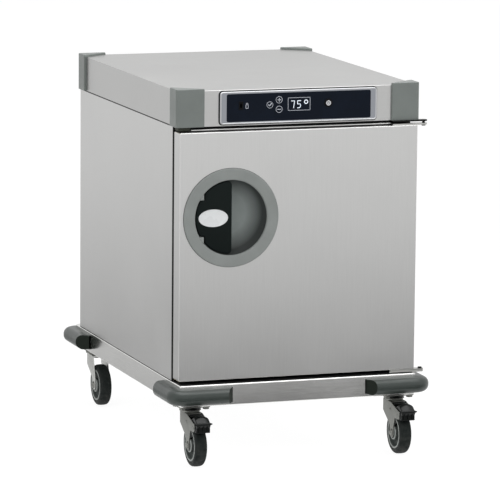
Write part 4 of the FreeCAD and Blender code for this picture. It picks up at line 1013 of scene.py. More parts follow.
@dataclass
class BrakePedal:
    """Brake pedal of a castor: a crowned hood over the tyre, a wide lip in front and ribs under it."""

    castor: Castor
    tyre_gap: float = 0.0061
    reach: float = 0.078
    height: float = 0.0335
    skirt_drop: float = 0.0125
    toe_back: float = 0.007
    heel_back: float = 0.036
    heel_rise: float = 0.0145
    top_rear: float = 0.012
    top_front: float = 0.008
    brow: float = 0.003
    chin: float = 0.006
    lip_low: float = 0.0095
    lip_high: float = 0.0175
    hood_radii: tuple = (0.002, 0.020, 0.020, 0.003, 0.002, 0.001, 0.001)
    edge: float = 0.0025
    fall: float = 0.007
    wing: float = 0.027
    lip_half_y: float = 0.0075
    lip_half_z: float = 0.0042
    lip_corner: float = 0.003
    lip_back: float = 0.0078
    lip_least: float = 0.25
    rib_pitch: float = 0.012
    rib_width: float = 0.0024
    rib_root: float = 0.002
    rib_toe: float = 0.0025

    def build(self) -> Piece:
        """The hood, the lip and three ribs.

        The hood is its side outline carried across the castor; its top falls off as the square of the
        distance from the middle. The lip is a rounded bar that shrinks as a fourth power towards its ends.
        """
        castor = self.castor
        y, z = castor.axle
        pivot_y, pivot_z = castor.pivot
        clear, front = castor.radius + self.tyre_gap, y - self.reach
        top, skirt = pivot_z + self.height, pivot_z - self.skirt_drop
        brow, toe, heel = front + self.brow, front + self.toe_back, pivot_y + self.heel_back
        low, high = pivot_z + self.lip_low, pivot_z + self.lip_high
        corners = [(heel, pivot_z + self.heel_rise), (pivot_y + self.top_rear, top)]
        corners += [(pivot_y - self.top_front, top), (brow, high), (brow, low)]
        corners += [(toe, low - self.chin), (toe, skirt)]
        start = math.degrees(math.atan2(skirt - z, -math.sqrt(clear ** 2 - (skirt - z) ** 2)))
        end = math.degrees(math.acos((heel - y) / clear))
        outline = np.concatenate([rounded(corners, self.hood_radii), arc(castor.axle, clear, start, end, 12)])
        half, edge = castor.hub_half, self.edge
        inward, back = quarter(edge, 5)
        level = np.linspace(edge - half, half - edge, 9)[1:-1]
        across = np.concatenate([back - half, level, half - back[::-1]])[:, None]
        rings = inset(outline, np.concatenate([inward, np.zeros(len(level)), inward[::-1]]))
        height = np.clip((rings[..., 1] - pivot_z) / (top - pivot_z), 0.0, 1.0)
        drop = self.fall * (across / half) ** 2 * height
        hood = lattice(Axis.X.place(castor.x + across, rings[..., 0], rings[..., 1] - drop))
        place = np.linspace(-1.0, 1.0, 25)[:, None]
        size = self.lip_least + (1 - self.lip_least) * (1 - place ** 4)
        bar = rectangle(-self.lip_half_y, self.lip_half_y, -self.lip_half_z, self.lip_half_z, self.lip_corner)
        lip = lattice(Axis.X.place(castor.x + self.wing * place, front + self.lip_back + bar[:, 0] * size,
                                   (low + high) / 2 + bar[:, 1] * size))
        root, foot = toe + self.rib_root, skirt + self.rib_root
        rib = np.array([(root, low), (brow, low), (toe - self.rib_toe, foot), (root, foot)])
        sides = [castor.x + step * self.rib_pitch - self.rib_width / 2 for step in (-1, 0, 1)]
        ribs = [slab(Axis.X, side, side + self.rib_width, rib) for side in sides]
        name = castor.name + "_brake"
        return Piece(name + "_pedal", join(hood, lip, *ribs), PEDAL, "pedal_plastic", name, (name,))


@dataclass
class CastorPlates:
    """The four top plates: pressed plates, black upper races and king nuts."""

    half_x: float = 0.046
    half_y: float = 0.0425
    corner: float = 0.008
    edge: float = 0.0012
    thickness: float = 0.004
    pin: float = 0.006
    nut_radius: float = 0.010
    nut_height: float = 0.007
    race_height: float = 0.009
    race_taper: float = 0.001
    race_radii: tuple = (0.0, 0.002, 0.001, 0.0)

    def build(self) -> list[Piece]:
        """One piece of plates and one of upper races, both turned or drawn out about each swivel axis."""
        box = Box("castor_plates")
        seat = box.z1 - self.thickness
        nut, race = box.z0 + self.nut_height, seat - self.race_height
        bolt = [(box.z0, 0.0), (box.z0, self.nut_radius), (nut, self.nut_radius), (nut, self.pin),
                (seat, self.pin), (seat, 0.0)]
        bore, wide = Castor.race_bore, Castor.race_radius
        seal = rounded([(race, bore), (race, wide - self.race_taper), (seat, wide), (seat, bore)],
                       self.race_radii)
        plates, races = [], []
        for corner in Corner:
            tyre = Box("castor_" + corner.tag + "_tyre")
            x, y = tyre.x, tyre.y + Castor.trail
            outline = rectangle(x - self.half_x, x + self.half_x, y - self.half_y, y + self.half_y,
                                self.corner)
            plates += [slab(Axis.Z, seat, box.z1, outline, self.edge), turned(Axis.Z, (x, y), bolt)]
            races.append(turned(Axis.Z, (x, y), seal, closed=True, steps=64))
        return [Piece("castor_top_plates", join(*plates), ZINC, "zinc_steel", stands_for=("castor_plates",)),
                Piece("castor_upper_races", join(*races), PEDAL, "pedal_plastic")]


@dataclass
class Bumper:
    """Corner bumper: a bullnose section carried round the chassis corner, its two ends cut slanting."""

    corner: Corner
    bend: float = 0.010
    nose: float = 0.020
    slant: float = 0.023
    end_edge: float = 0.004
    backing: float = 0.0026
    backing_share: float = 0.97
    reach_clear: float = 0.00005
    cut_inset: float = 0.0004
    cut_proud: float = 0.00015
    cut_sink: float = 0.0006

    def __post_init__(self) -> None:
        """Read the chassis corner and the bumper's section off the frame."""
        self.node = "bumper_" + self.corner.tag
        box, body = Box(self.node), Box("chassis_frame")
        self.half_x, self.half_y, self.middle_y = body.x1, body.y1 - body.y, body.y
        full = box.x1 - body.x1 if self.corner.side > 0 else -body.x1 - box.x0
        self.reach = full - self.reach_clear
        self.middle_z, self.half_z = box.z, box.half_z
        self.leg = box.x1 - box.x0 - self.reach

    def build(self) -> list[Piece]:
        """The bumper, its backing strip and its two cut faces.

        At a distance t from an end the section is cut off at the share t / slant of its reach, so that the
        end is a slanting plane. The height there is less by r - sqrt(r^2 - (r - t)^2), a quarter circle.
        """
        half_z, reach, leg = self.half_z, self.reach, self.leg
        section = rounded([(0.0, -half_z), (reach, -half_z), (reach, half_z), (0.0, half_z)],
                          [0.0, self.nose, self.nose, 0.0], 12)
        lead = self.slant * np.unique(np.round(np.append(section[:, 0], self.backing), 6)) / reach
        straight = leg - self.bend
        along = np.concatenate([lead, np.linspace(self.slant, straight, 6)[1:]])
        turn = np.linspace(0.0, math.pi / 2, 17)[1:-1]
        turn = np.concatenate([np.zeros(len(along)), turn, np.full(len(along), math.pi / 2)])
        distance = np.concatenate([along, np.full(15, 2 * straight), along[::-1]])
        out = np.stack([np.sin(turn), np.cos(turn)], axis=-1)
        path = (self.half_x - self.bend, self.half_y - self.bend) + self.bend * out
        path[:len(along), 0] = self.half_x - leg + along
        path[-len(along):, 1] = self.half_y - leg + along[::-1]
        limit = np.maximum(reach * np.minimum(distance / self.slant, 1.0), self.backing)
        outward = np.minimum(section[None, :, 0], limit[:, None])
        upward = section[None, :, 1] / half_z * (half_z - self.loss(distance))[:, None]
        share = half_z * self.backing_share
        flat = np.tile(rectangle(0.0, self.backing, -share, share), (len(path), 1, 1))
        path, out = path.T[..., None], out.T[..., None]
        nose, strip = (self.placed(*(path + off * out), rise)
                       for off, rise in ((outward, upward), (flat[..., 0], flat[..., 1])))
        return [Piece(self.node + "_nose", nose, BUMPER, "bumper_rubber", stands_for=(self.node,)),
                Piece(self.node + "_backing", strip, GASKET_AND_PAINTED_SHADE, "bumper_rubber", stands_for=(self.node,)),
                Piece(self.node + "_cut_faces", self.cut_faces(section), CUT_RUBBER, "bumper_rubber")]

    def cut_faces(self, section: np.ndarray) -> Shell:
        """Thin dark plates on the two slanting planes.

        Args:
            section: Outline of the bumper's section, as (out from the chassis, up).

        Returns:
            Both plates, each the section's outline on its plane, raised and sunk along the plane's normal.
        """
        edge = inset(section, [self.cut_inset])[0]
        start = self.slant * edge[:, 0] / self.reach
        rise = edge[:, 1] * (1 - self.loss(start) / self.half_z)
        length = math.hypot(self.slant, self.reach)
        lift = np.array([self.cut_proud, -self.cut_sink])[:, None]
        off, start = edge[:, 0] + lift * self.slant / length, start - lift * self.reach / length
        near_x, near_y = self.half_x - self.leg + start, self.half_y - self.leg + start
        return join(self.placed(near_x, self.half_y + off, rise),
                    self.placed(self.half_x + off, near_y, rise))

    def placed(self, x: np.ndarray, y: np.ndarray, rise: np.ndarray) -> Shell:
        """Rings of points about the rear right corner, skinned at this bumper's own corner."""
        x, y = self.corner.side * x, self.middle_y + self.corner.end * y
        return lattice(np.stack(np.broadcast_arrays(x, y, self.middle_z + rise), axis=-1))

    def loss(self, distance: np.ndarray) -> np.ndarray:
        """How much the end's quarter circle takes off at a distance from the end."""
        left = np.clip(self.end_edge - distance, 0.0, self.end_edge)
        return self.end_edge - np.sqrt(self.end_edge ** 2 - left ** 2)


@dataclass
class DoorHandle:
    """Round grip: ring and bowl, lugs, the lever's paddle and a blank oval plate on it.

    The plate's rings are given as (share of its outline, height over the paddle).
    """

    inner_radius: float = 0.1075
    proud: float = 0.005
    edge: float = 0.0035
    depth: float = 0.040
    wall: float = 0.0025
    bowl_clear: float = 0.0004
    bowl_lip: float = 0.002
    turn_steps: int = 160
    lug_reach: float = 0.0265
    lug_gap: float = 0.0525
    lug_depth: float = 0.022
    lug_edge: float = 0.003
    lug_clear: float = 0.0043
    lug_root: float = 0.004
    lug_sink: float = 0.0003
    seal_width: float = 0.0022
    seal_lap: float = 0.0006
    seal_height: float = 0.001
    paddle_radius: float = 0.104
    paddle_right: float = 0.0035
    paddle_corner: float = 0.012
    paddle_edge: float = 0.0022
    paddle_back_edge: float = 0.0006
    paddle_depth: float = 0.009
    tab_clear: float = 0.0008
    tail_half_x: float = 0.003
    tail_half_z: float = 0.007
    tail_lap: float = 0.001
    tail_corner: float = 0.0006
    tail_edge: float = 0.0005
    plate_offset: float = 0.052
    plate_half_x: float = 0.0437
    plate_half_z: float = 0.0251
    plate_rings: tuple = ((1.0, 0.0), (1.0, 0.0007), (0.985, 0.001), (0.955, 0.001), (0.94, 0.0007),
                          (0.93, 0.0006), (0.8, 0.0007), (0.6, 0.00082), (0.4, 0.0009), (0.2, 0.00095),
                          (0.03, 0.00096))

    def __post_init__(self) -> None:
        """Read the handle's axis and the lever's faces off the frame."""
        cup = Box("handle_cup")
        self.centre, self.front, self.outer_radius = (cup.x, cup.z), cup.y0, cup.half_x
        self.face = self.front + self.proud
        self.lever = Box("latch_lever")

    def build(self) -> list[Piece]:
        """All pieces of the handle."""
        return [*self.cup(), self.seal(), self.paddle(), self.plate()]

    def cup(self) -> list[Piece]:
        """Ring with its two lugs, and the bowl, both turned about the handle's axis.

        The bowl's depth falls from its middle to its rim as 1 minus the sixth power of its share.
        """
        edge, inner, outer = self.edge, self.inner_radius, self.inner_radius + self.wall
        bottom = self.face + self.depth
        share = np.linspace(0.0, 1.0, 24) ** 0.6
        place = bottom - (self.depth - self.bowl_lip) * share ** 6
        bowl = np.stack([place, (inner - self.bowl_clear) * share], axis=-1)
        rim, rear = float(bowl[-1, 0]), bottom + self.wall
        bowl = np.concatenate([bowl, [(rim, outer), (rear, outer), (rear, 0.0)]])
        dish = turned(Axis.Y, self.centre, bowl, steps=self.turn_steps)
        lip = arc((self.front + edge, inner + edge), edge, 270, 180, 6)
        brim = arc((self.front + edge, self.outer_radius - edge), edge, 180, 90, 6)
        back = [(self.face, self.outer_radius), (self.face, outer), (rim, outer), (rim, inner)]
        profile = np.concatenate([lip, brim, back])
        shell = turned(Axis.Y, self.centre, profile, closed=True, steps=self.turn_steps)
        radius, left = inner + self.lug_root, self.lug_reach - inner
        start = math.degrees(math.acos(left / radius))
        end = 180 - math.degrees(math.asin(self.lug_gap / radius))
        lug = np.concatenate([[(left, self.lug_gap)], arc((0.0, 0.0), radius, start, end)])
        ends = self.front + self.lug_sink, self.front + self.lug_depth
        lugs = [slab(Axis.Y, *ends, lug * (1, side) + self.centre, self.lug_edge) for side in (-1, 1)]
        return [Piece("handle_cup_ring", join(shell, *lugs), CUP, "cup_plastic", "door", ("handle_cup",)),
                Piece("handle_cup_bowl", dish, BOWL_PAINTED_LIGHT_AND_SHADE, "cup_plastic", "door", ("handle_cup",))]

    def seal(self) -> Piece:
        """Dark seal under the ring's brim, a flat ring against the door: painted shade for the brim's contact
        shadow.
        """
        shell = ring(Axis.Y, self.face - self.seal_height, self.face, self.centre,
                     self.outer_radius + self.seal_lap, self.seal_width)
        return Piece("handle_cup_seal", shell, PAINTED_SHADE_SEAL, "gasket_rubber", "door")

    def paddle_outline(self) -> np.ndarray:
        """Half disc with two rounded right corners, notched for the lugs: its upper half, then the mirror."""
        radius, corner, tab = self.paddle_radius, self.paddle_corner, self.lug_gap - self.tab_clear
        inner, step = self.paddle_right - corner, self.lug_reach + self.lug_clear - self.inner_radius
        rise = math.sqrt((radius - corner) ** 2 - inner ** 2)
        meet = math.degrees(math.atan2(rise, inner))
        turn = math.degrees(math.acos(step / radius))
        root = 180 - math.degrees(math.asin(tab / radius))
        upper = np.concatenate([arc((inner, rise), corner, 0, meet, 8),
                                arc((0.0, 0.0), radius, meet, turn)[1:], [(step, tab)],
                                arc((0.0, 0.0), radius, root, 180, 8)])
        return np.concatenate([upper, upper[-2::-1] * (1, -1)]) + self.centre

    def paddle(self) -> Piece:
        """Paddle with a soft front edge, and its tail behind it."""
        lever, x, z = self.lever, Box("latch_pin").x, self.centre[1]
        rear = lever.y0 + self.paddle_depth
        shell = slab(Axis.Y, lever.y0, rear, self.paddle_outline(), self.paddle_edge, self.paddle_back_edge)
        tail = rectangle(x - self.tail_half_x, x + self.tail_half_x, rear - self.tail_lap, lever.y1,
                         self.tail_corner)
        tail = slab(Axis.Z, z - self.tail_half_z, z + self.tail_half_z, tail, self.tail_edge, self.tail_edge)
        return Piece("latch_lever_paddle", join(shell, tail), LEVER, "lever_plastic", "latch_lever",
                     ("latch_lever",))

    def plate(self) -> Piece:
        """Blank oval plate: an ellipse whose face swells towards its middle, with a raised rim."""
        share, lift = np.array(self.plate_rings).T[..., None]
        outline = ellipse((0.0, 0.0), 1.0, 1.0, 96)
        x = self.centre[0] - self.plate_offset + self.plate_half_x * share * outline[:, 0]
        z = self.centre[1] + self.plate_half_z * share * outline[:, 1]
        shell = lattice(Axis.Y.place(self.lever.y0 - lift, x, z))
        return Piece("latch_lever_plate", shell, BADGE, "bezel_silver", "latch_lever")


@dataclass(frozen=True)
class KeyStyle:
    """How a key looks: its finish and slot, its sign's ink, its dish, and the sign's line and depth."""

    finish: Finish = KEY
    slot: str = "key_plastic"
    ink: Finish = PRINT
    dish: float = 0.0004
    sign_line: float = 0.0017
    sign_sink: float = 0.0003


@dataclass
class ControlPanel:
    """Print, display and key caps on the lid's front panel.

    Digits are given as shares of their half sizes, the tick as shares of the select key's radius and the
    other signs in metres. The seal's section is given as (in from the bezel's outline, out from the lid).
    """

    styles: ClassVar[dict[str, KeyStyle]] = {
        "key_select": KeyStyle(sign_line=0.0022, sign_sink=0.0001),
        "key_plus": KeyStyle(), "key_minus": KeyStyle(),
        "key_power": KeyStyle(CHROME, "button_metal", SOCKET, 0.0008, 0.0011, 0.0007)}
    print_height: float = 0.00025
    line: float = 0.0010
    display_half_x: float = 0.033
    display_half_z: float = 0.018
    digit_width: float = 0.0095
    digit_height: float = 0.020
    digit_line: float = 0.0019
    digit_drop: float = 0.001
    digits_at: tuple = (-0.0185, 0.0)
    seven: tuple = ((-1, 1), (1, 1), (0.7, 0), (0.4, -1))
    five: tuple = ((1, 1), (-1, 1), (-1, 0.1), (0.6, 0.1), (1, -0.3), (0.7, -0.8), (0, -1), (-1, -1))
    degree_x: float = 0.021
    degree_rise: float = 0.0055
    degree_radius: float = 0.0062
    degree_line: float = 0.0024
    bezel_trim: float = 0.004
    bezel_corner: float = 0.009
    rim_width: float = 0.0042
    rim_edge: float = 0.002
    face_drop: float = 0.0007
    glass_gap: float = 0.0003
    glass_corner: float = 0.005
    seal_section: tuple = ((-0.0024, 0.0), (-0.0024, 0.0012), (-0.0018, 0.0018), (0.0004, 0.0018),
                           (0.0004, 0.0))
    key_edge: float = 0.0006
    collar_radius: float = 0.0125
    collar_width: float = 0.0046
    collar_height: float = 0.0008
    step_ring: float = 0.0098
    select_ring: float = 0.95
    tick: tuple = ((-0.403, 0.031), (-0.093, -0.31), (0.465, 0.372))
    bar: tuple = ((-0.0052, 0.0), (0.0052, 0.0))
    upright: tuple = ((0.0, -0.0052), (0.0, 0.0052))
    power_radius: float = 0.0036
    power_bar: tuple = ((0.0, 0.0008), (0.0, 0.0048))
    port_away: float = 0.0115
    port_drop: float = 0.001
    port_line: float = 0.0012
    port_body: tuple = ((-0.0035, -0.007), (0.0035, -0.007), (0.0035, 0.003), (-0.0035, 0.003),
                        (-0.0035, -0.007))
    port_plug: tuple = ((-0.0022, 0.003), (-0.0022, 0.008), (0.0022, 0.008), (0.0022, 0.003))

    def __post_init__(self) -> None:
        """Read the panel's faces and the key places off the frame."""
        self.glass, self.frame_box = Box("control_glass"), Box("control_bezel")
        self.outline = self.frame_box.front(self.bezel_trim, 0.0, self.bezel_corner)
        self.face = self.glass.y0
        self.keys = {name: Box(name) for name in self.styles}
        self.middles = {name: (key.x, key.z) for name, key in self.keys.items()}
        self.row = self.keys["key_select"].z

    def build(self) -> list[Piece]:
        """All pieces of the panel."""
        return [self.seal(), *self.bezel(), self.display(), self.digits(), *self.key_caps(), self.port_mark()]

    def flat(self, points: Sequence[Places], centre: Places, width: float, base: float) -> Shell:
        """Printed line through points about a centre, just in front of a face."""
        return stroke(Axis.Y, base - self.print_height, base, np.asarray(points) + centre, width)

    def loop(self, centre: Places, radius: float, width: float, base: float) -> Shell:
        """Printed ring just in front of a face."""
        return ring(Axis.Y, base - self.print_height, base, centre, radius, width)

    def seal(self) -> Piece:
        """Dark seal line round the bezel, a rounded rectangle band just outside it against the lid: painted
        shade of the gap round the bezel.
        """
        inward, out = np.array(self.seal_section).T
        shell = skin(Axis.Y, self.frame_box.y1 - out, inset(self.outline, inward), along=True)
        return Piece("bezel_seal", shell, PAINTED_SHADE_SEAL, "gasket_rubber")

    def bezel(self) -> list[Piece]:
        """Bezel: a rim with a rounded front edge, pale as a painted highlight, and, inside it, a face a
        little lower round the glass.

        Returns:
            The rim, skinned over insets of the bezel's outline, and the face, a band.
        """
        front, rear = self.frame_box.y0, self.frame_box.y1
        inward, back = quarter(self.rim_edge, 5)
        width, drop = self.rim_width, self.face_drop
        rings = inset(self.outline, [0.0, *inward[::-1], width - drop, width, width])
        rim = skin(Axis.Y, [rear, *(front + back[::-1]), front, front + drop, rear], rings, along=True)
        pocket = self.glass.front(-self.glass_gap, -self.glass_gap, self.glass_corner)
        face = band(Axis.Y, front + drop, rear, inset(self.outline, [width])[0], pocket)
        return [Piece("bezel_rim", rim, SILVER_PAINTED_HIGHLIGHT, "bezel_silver", stands_for=("control_bezel",)),
                Piece("bezel_face", face, SILVER, "bezel_silver", stands_for=("control_bezel",))]

    def display(self) -> Piece:
        """Printed frame round the display."""
        x, z = self.display_half_x, self.display_half_z
        corners = [(-x, -z), (x, -z), (x, z), (-x, z), (-x, -z)]
        shell = self.flat(corners, (0.0, self.row), self.line, self.face)
        return Piece("display_frame", shell, PRINT, "panel_glass")

    def digits(self) -> Piece:
        """Temperature digits 7 and 5 as joined bars, and a degree ring."""
        half = (self.digit_width / 2, self.digit_height / 2)
        shells = [self.flat(np.array(points) * half, (x, self.row - self.digit_drop), self.digit_line,
                            self.face) for points, x in zip((self.seven, self.five), self.digits_at)]
        degree = self.loop((self.degree_x, self.row + self.degree_rise), self.degree_radius, self.degree_line,
                           self.face)
        return Piece("display_digits", join(*shells, degree), DIGITS, "panel_glass")

    def key_caps(self) -> list[Piece]:
        """Each key: a round cap dished as the square of its radius, its printed sign, and the keys' rings.

        Returns:
            Cap and sign of each key, the power button's collar and the rings of the plus and minus keys.
        """
        made, edge = [], self.key_edge
        for name, key in self.keys.items():
            style, radius, front, rear = self.styles[name], key.half_x, key.y0, key.y1
            dish = np.linspace(0.0, radius - edge, 8)
            bowl = np.stack([front + style.dish * (1 - (dish / (radius - edge)) ** 2), dish], axis=-1)
            rim = arc((front + edge, radius - edge), edge, 180, 90, 5)
            profile = np.concatenate([bowl, rim, [(rear, radius), (rear, 0.0)]])
            cap = turned(Axis.Y, self.middles[name], profile)
            made += [Piece(name + "_cap", cap, style.finish, style.slot, name, (name,)),
                     Piece(name + "_sign", self.sign(key, style), style.ink, style.slot, name)]
        collar = ring(Axis.Y, self.face - self.collar_height, self.face, self.middles["key_power"],
                      self.collar_radius, self.collar_width)
        rings = [self.loop(self.middles[name], self.step_ring, self.line, self.face)
                 for name in ("key_plus", "key_minus")]
        return [*made, Piece("key_power_collar", collar, SOCKET, "socket_plastic"),
                Piece("step_key_rings", join(*rings), PRINT, "panel_glass")]

    def sign(self, key: Box, style: KeyStyle) -> Shell:
        """Sign on a key: a tick in a ring, a plus, a minus, or an open ring with a bar.

        Args:
            key: Box of the key.
            style: Look of the key.

        Returns:
            The sign's lines.
        """
        centre, base = self.middles[key.node], key.y0 + style.sign_sink
        lines = {"key_select": [np.array(self.tick) * key.half_x], "key_minus": [self.bar],
                 "key_plus": [self.bar, self.upright],
                 "key_power": [arc((0.0, 0.0), self.power_radius, 125, 415, 16), self.power_bar]}[key.node]
        shells = [self.flat(points, centre, style.sign_line, base) for points in lines]
        if key.node == "key_select":
            shells.append(self.loop(centre, key.half_x * self.select_ring, self.line, base))
        return join(*shells)

    def port_mark(self) -> Piece:
        """Generic sign of a data stick beside the socket: a cap over a small square."""
        centre = (Box("usb_socket").x1 + self.port_away, self.row - self.port_drop)
        shells = [self.flat(points, centre, self.port_line, self.face)
                  for points in (self.port_body, self.port_plug)]
        return Piece("port_sign", join(*shells), PRINT, "panel_glass")


@dataclass
class DoorSkin:
    """Folded outer sheet of the door, with a bend radius at its edges and a hole for the grip."""

    bend: float = 0.0028
    corner: float = 0.0045
    strip: float = 0.0005
    sheet: float = 0.0012
    hole: float = 0.118
    side_parts: int = 12

    def build(self) -> list[Piece]:
        """The sheet: rings from the hole over the front, round the bend and back inside, closed on itself."""
        box, cup, parts, sheet = Box("door_outer_skin"), Box("handle_cup"), self.side_parts, self.sheet
        centre, front, rear = (cup.x, cup.z), box.y0, box.y1
        corners = box.front()
        share = np.linspace(0.0, 1.0, parts + 1)[:-1, None]
        sides = [start + share * (end - start) for start, end in zip(corners, np.roll(corners, -1, axis=0))]
        outline = rounded(np.concatenate(sides), ([self.corner] + [0.0] * (parts - 1)) * 4)
        away = outline - centre
        hole = (centre + self.hole * away / np.linalg.norm(away, axis=1, keepdims=True))[None]
        flat = self.bend + self.strip
        out_in, out_back = quarter(self.bend, 6)
        in_in, in_back = quarter(self.bend - sheet, 6)
        rings = inset(outline, [flat, *out_in, 0.0, 0.0, sheet, *(sheet + in_in[::-1]), flat])
        place = [front, front, *(front + out_back), front + flat, rear, rear]
        place += [*(front + sheet + in_back[::-1]), front + sheet, front + sheet]
        shell = skin(Axis.Y, place, np.concatenate([hole, rings, hole]), along=True)
        return [Piece("door_skin_folded", shell, STEEL, "stainless_outer", "door", ("door_outer_skin",),
                      FOLD_ANGLE)]


@dataclass
class Lid:
    """Folded lid: flange, walls, bend radius and top sheet, with a window for the panel in its front."""

    bend: float = 0.0016
    strip: float = 0.0005
    sheet: float = 0.0012
    flange: float = 0.026
    window_half_x: float = 0.210
    window_half_z: float = 0.036

    def build(self) -> list[Piece]:
        """The lid: rings of the plan outline, each inset at its height, up the outside and down the inside.

        The window's two faces are left out and its rim is closed between the outside and the inside.

        Returns:
            The lid's piece.
        """
        box, middle, half = Box("top_cover"), Box("control_glass").z, self.window_half_x
        x, front, rear, top = box.x1, box.y0, box.y1, box.z1
        outline = [(-x, front), (-half, front), (half, front), (x, front), (x, 0.0), (x, rear), (-x, rear),
                   (-x, 0.0)]
        inward, drop = quarter(self.bend, 4)
        flat = self.bend + self.strip
        inwards = [self.flange, 0.0, 0.0, 0.0, 0.0, *inward[::-1], flat]
        height = [box.z0, box.z0, middle - self.window_half_z, middle + self.window_half_z, top - flat]
        height += [*(top - drop[::-1]), top]
        below = np.minimum(height, top - self.sheet)
        below[:2] += self.sheet
        rings = inset(np.array(outline), np.concatenate([inwards, np.maximum(inwards, self.sheet)[::-1]]))
        shell = skin(Axis.Z, np.concatenate([height, below[::-1]]), rings, along=True)
        columns, rows = len(outline), len(height)
        peak, upper = (rows - 1) * columns, (2 * rows - 4) * columns
        left_out = {2 * columns + 1, upper + 1, *range(peak, peak + columns)}
        faces = [face for number, face in enumerate(shell.faces) if number not in left_out]
        faces += [list(range(start, start + columns)) for start in (peak, peak + columns)]
        outer = [2 * columns + 1, 2 * columns + 2, 3 * columns + 2, 3 * columns + 1]
        inner = [upper + columns + 1, upper + columns + 2, upper + 2, upper + 1]
        faces += [[outer[i], outer[i + 1], inner[i + 1], inner[i]] for i in range(-1, 3)]
        return [Piece("lid_folded", Shell(shell.points, faces), STEEL_TOP, "stainless_outer",
                      stands_for=("top_cover",), sharp_angle=FOLD_ANGLE)]


@dataclass
class Chassis:
    """Folded channel ring with bend radii, and a plate in each corner for a castor."""

    bend: float = 0.003
    strip: float = 0.0006
    wall: float = 0.0025
    flange: float = 0.050
    corner: float = 0.010
    shelf_corner: float = 0.004
    plate: float = 0.122
    plate_corner: float = 0.006
    plate_edge: float = 0.0004
    plate_rise: float = 0.0003
    rear_rest: float = 0.024

    def build(self) -> list[Piece]:
        """The ring: the channel's section as insets and heights of the plan outline, closed on itself.

        Returns:
            The piece of the ring and its corner plates.
        """
        box, wall, flange, flat = Box("chassis_frame"), self.wall, self.flange, self.bend + self.strip
        bottom, top = box.z0, box.z1
        outline = rectangle(box.x0, box.x1, box.y0, box.y1, self.corner, 10)
        shelf = rectangle(box.x0 + flange, box.x1 - flange, Box("base_panel").y0 + flange,
                          Box("rear_panel").y1 - self.rear_rest, self.shelf_corner, 10)
        inward, back = quarter(self.bend, 5)
        outside = inset(outline, [flange, flat, *inward, 0.0, 0.0, *inward[::-1], flat])
        rings = np.concatenate([outside, [shelf, shelf], inset(outline, [flat, wall, wall, flange])])
        height = [bottom, bottom, *(bottom + back), bottom + flat, top - flat, *(top - back[::-1]), top, top]
        height += [top - wall] * 3 + [bottom + wall] * 2
        shells = [skin(Axis.Z, height, rings, along=True)]
        low = bottom + self.plate_rise
        for corner in Corner:
            xs = sorted(corner.side * (box.x1 - inside) for inside in (self.plate, wall))
            ys = sorted(box.y + corner.end * (box.half_y - inside) for inside in (self.plate, wall))
            plate = rectangle(*xs, *ys, self.plate_corner)
            shells.append(slab(Axis.Z, low, low + wall, plate, 0.0, self.plate_edge))
        return [Piece("chassis_channel", join(*shells), STEEL_CHASSIS, "stainless_outer",
                      stands_for=("chassis_frame",), sharp_angle=FOLD_ANGLE)]


@dataclass
class EdgeSealsPaintedShade:
    """Black edge seals round the cabinet's front, the door's back and on the chassis below the door, and
    seams at the cabinet's top and foot; partly real seals, partly painted shade for the gaps and grooves.
    """

    side: float = 0.0075
    end: float = 0.024
    corner: float = 0.001
    door_edge: float = 0.0006
    door_depth: float = 0.009
    height: float = 0.0012
    proud: float = 0.0002
    wrap: float = 0.0045
    strip_side: float = 0.006
    strip_front: float = 0.004
    strip_corner: float = 0.002
    strip_edge: float = 0.0004
    seam: float = 0.0022
    seam_width: float = 0.006

    def build(self) -> list[Piece]:
        """Frames between outlines round the front, the door and the cabinet, and a strip with a soft rim, all
        black: partly seals, partly painted shade in the gaps and seam grooves.

        Returns:
            The front's seal, the door's seal, the strip and the seams over and under the cabinet.
        """
        front, door, panel = Box("front_frame"), Box("door_outer_skin"), Box("side_panel_left")
        proud, face, top = self.proud, front.y0, Box("chassis_frame").z1
        start = face - self.height
        outer = front.front(-proud, proud, self.corner)
        seal = join(band(Axis.Y, start, face, outer, front.front(self.side, self.end, self.corner)),
                    band(Axis.Y, start, face + self.wrap, outer, inset(outer, [3 * proud])[0]))
        back = band(Axis.Y, door.y1, door.y1 + self.door_depth,
                    *(door.front(edge, edge, self.corner) for edge in (self.door_edge, self.side)))
        plan = rectangle(door.x0 + self.strip_side, door.x1 - self.strip_side, door.y0 - self.strip_front,
                         start, self.strip_corner)
        strip = slab(Axis.Z, top, top + self.height, plan, 0.0, self.strip_edge)
        half, rear = proud - panel.x0, panel.y1 + proud
        outer, inner = (rectangle(edge - half, half - edge, face + edge, rear - edge, self.strip_corner)
                        for edge in (0.0, self.seam_width))
        seams = join(band(Axis.Z, panel.z1 - proud, Box("top_cover").z0, outer, inner),
                     band(Axis.Z, top, top + self.seam, outer, inset(outer, [2 * proud])[0]))
        # All black: partly seals and joints, partly painted shade in the gaps round the door and in the seam
        # grooves.
        shells = {"front_edge_seal": seal, "door_edge_seal": back, "chassis_strip": strip,
                  "cabinet_seam_seals": seams}
        return [Piece(name, shell, GASKET_AND_PAINTED_SHADE, "gasket_rubber", "door" if shell is back else "root")
                for name, shell in shells.items()]


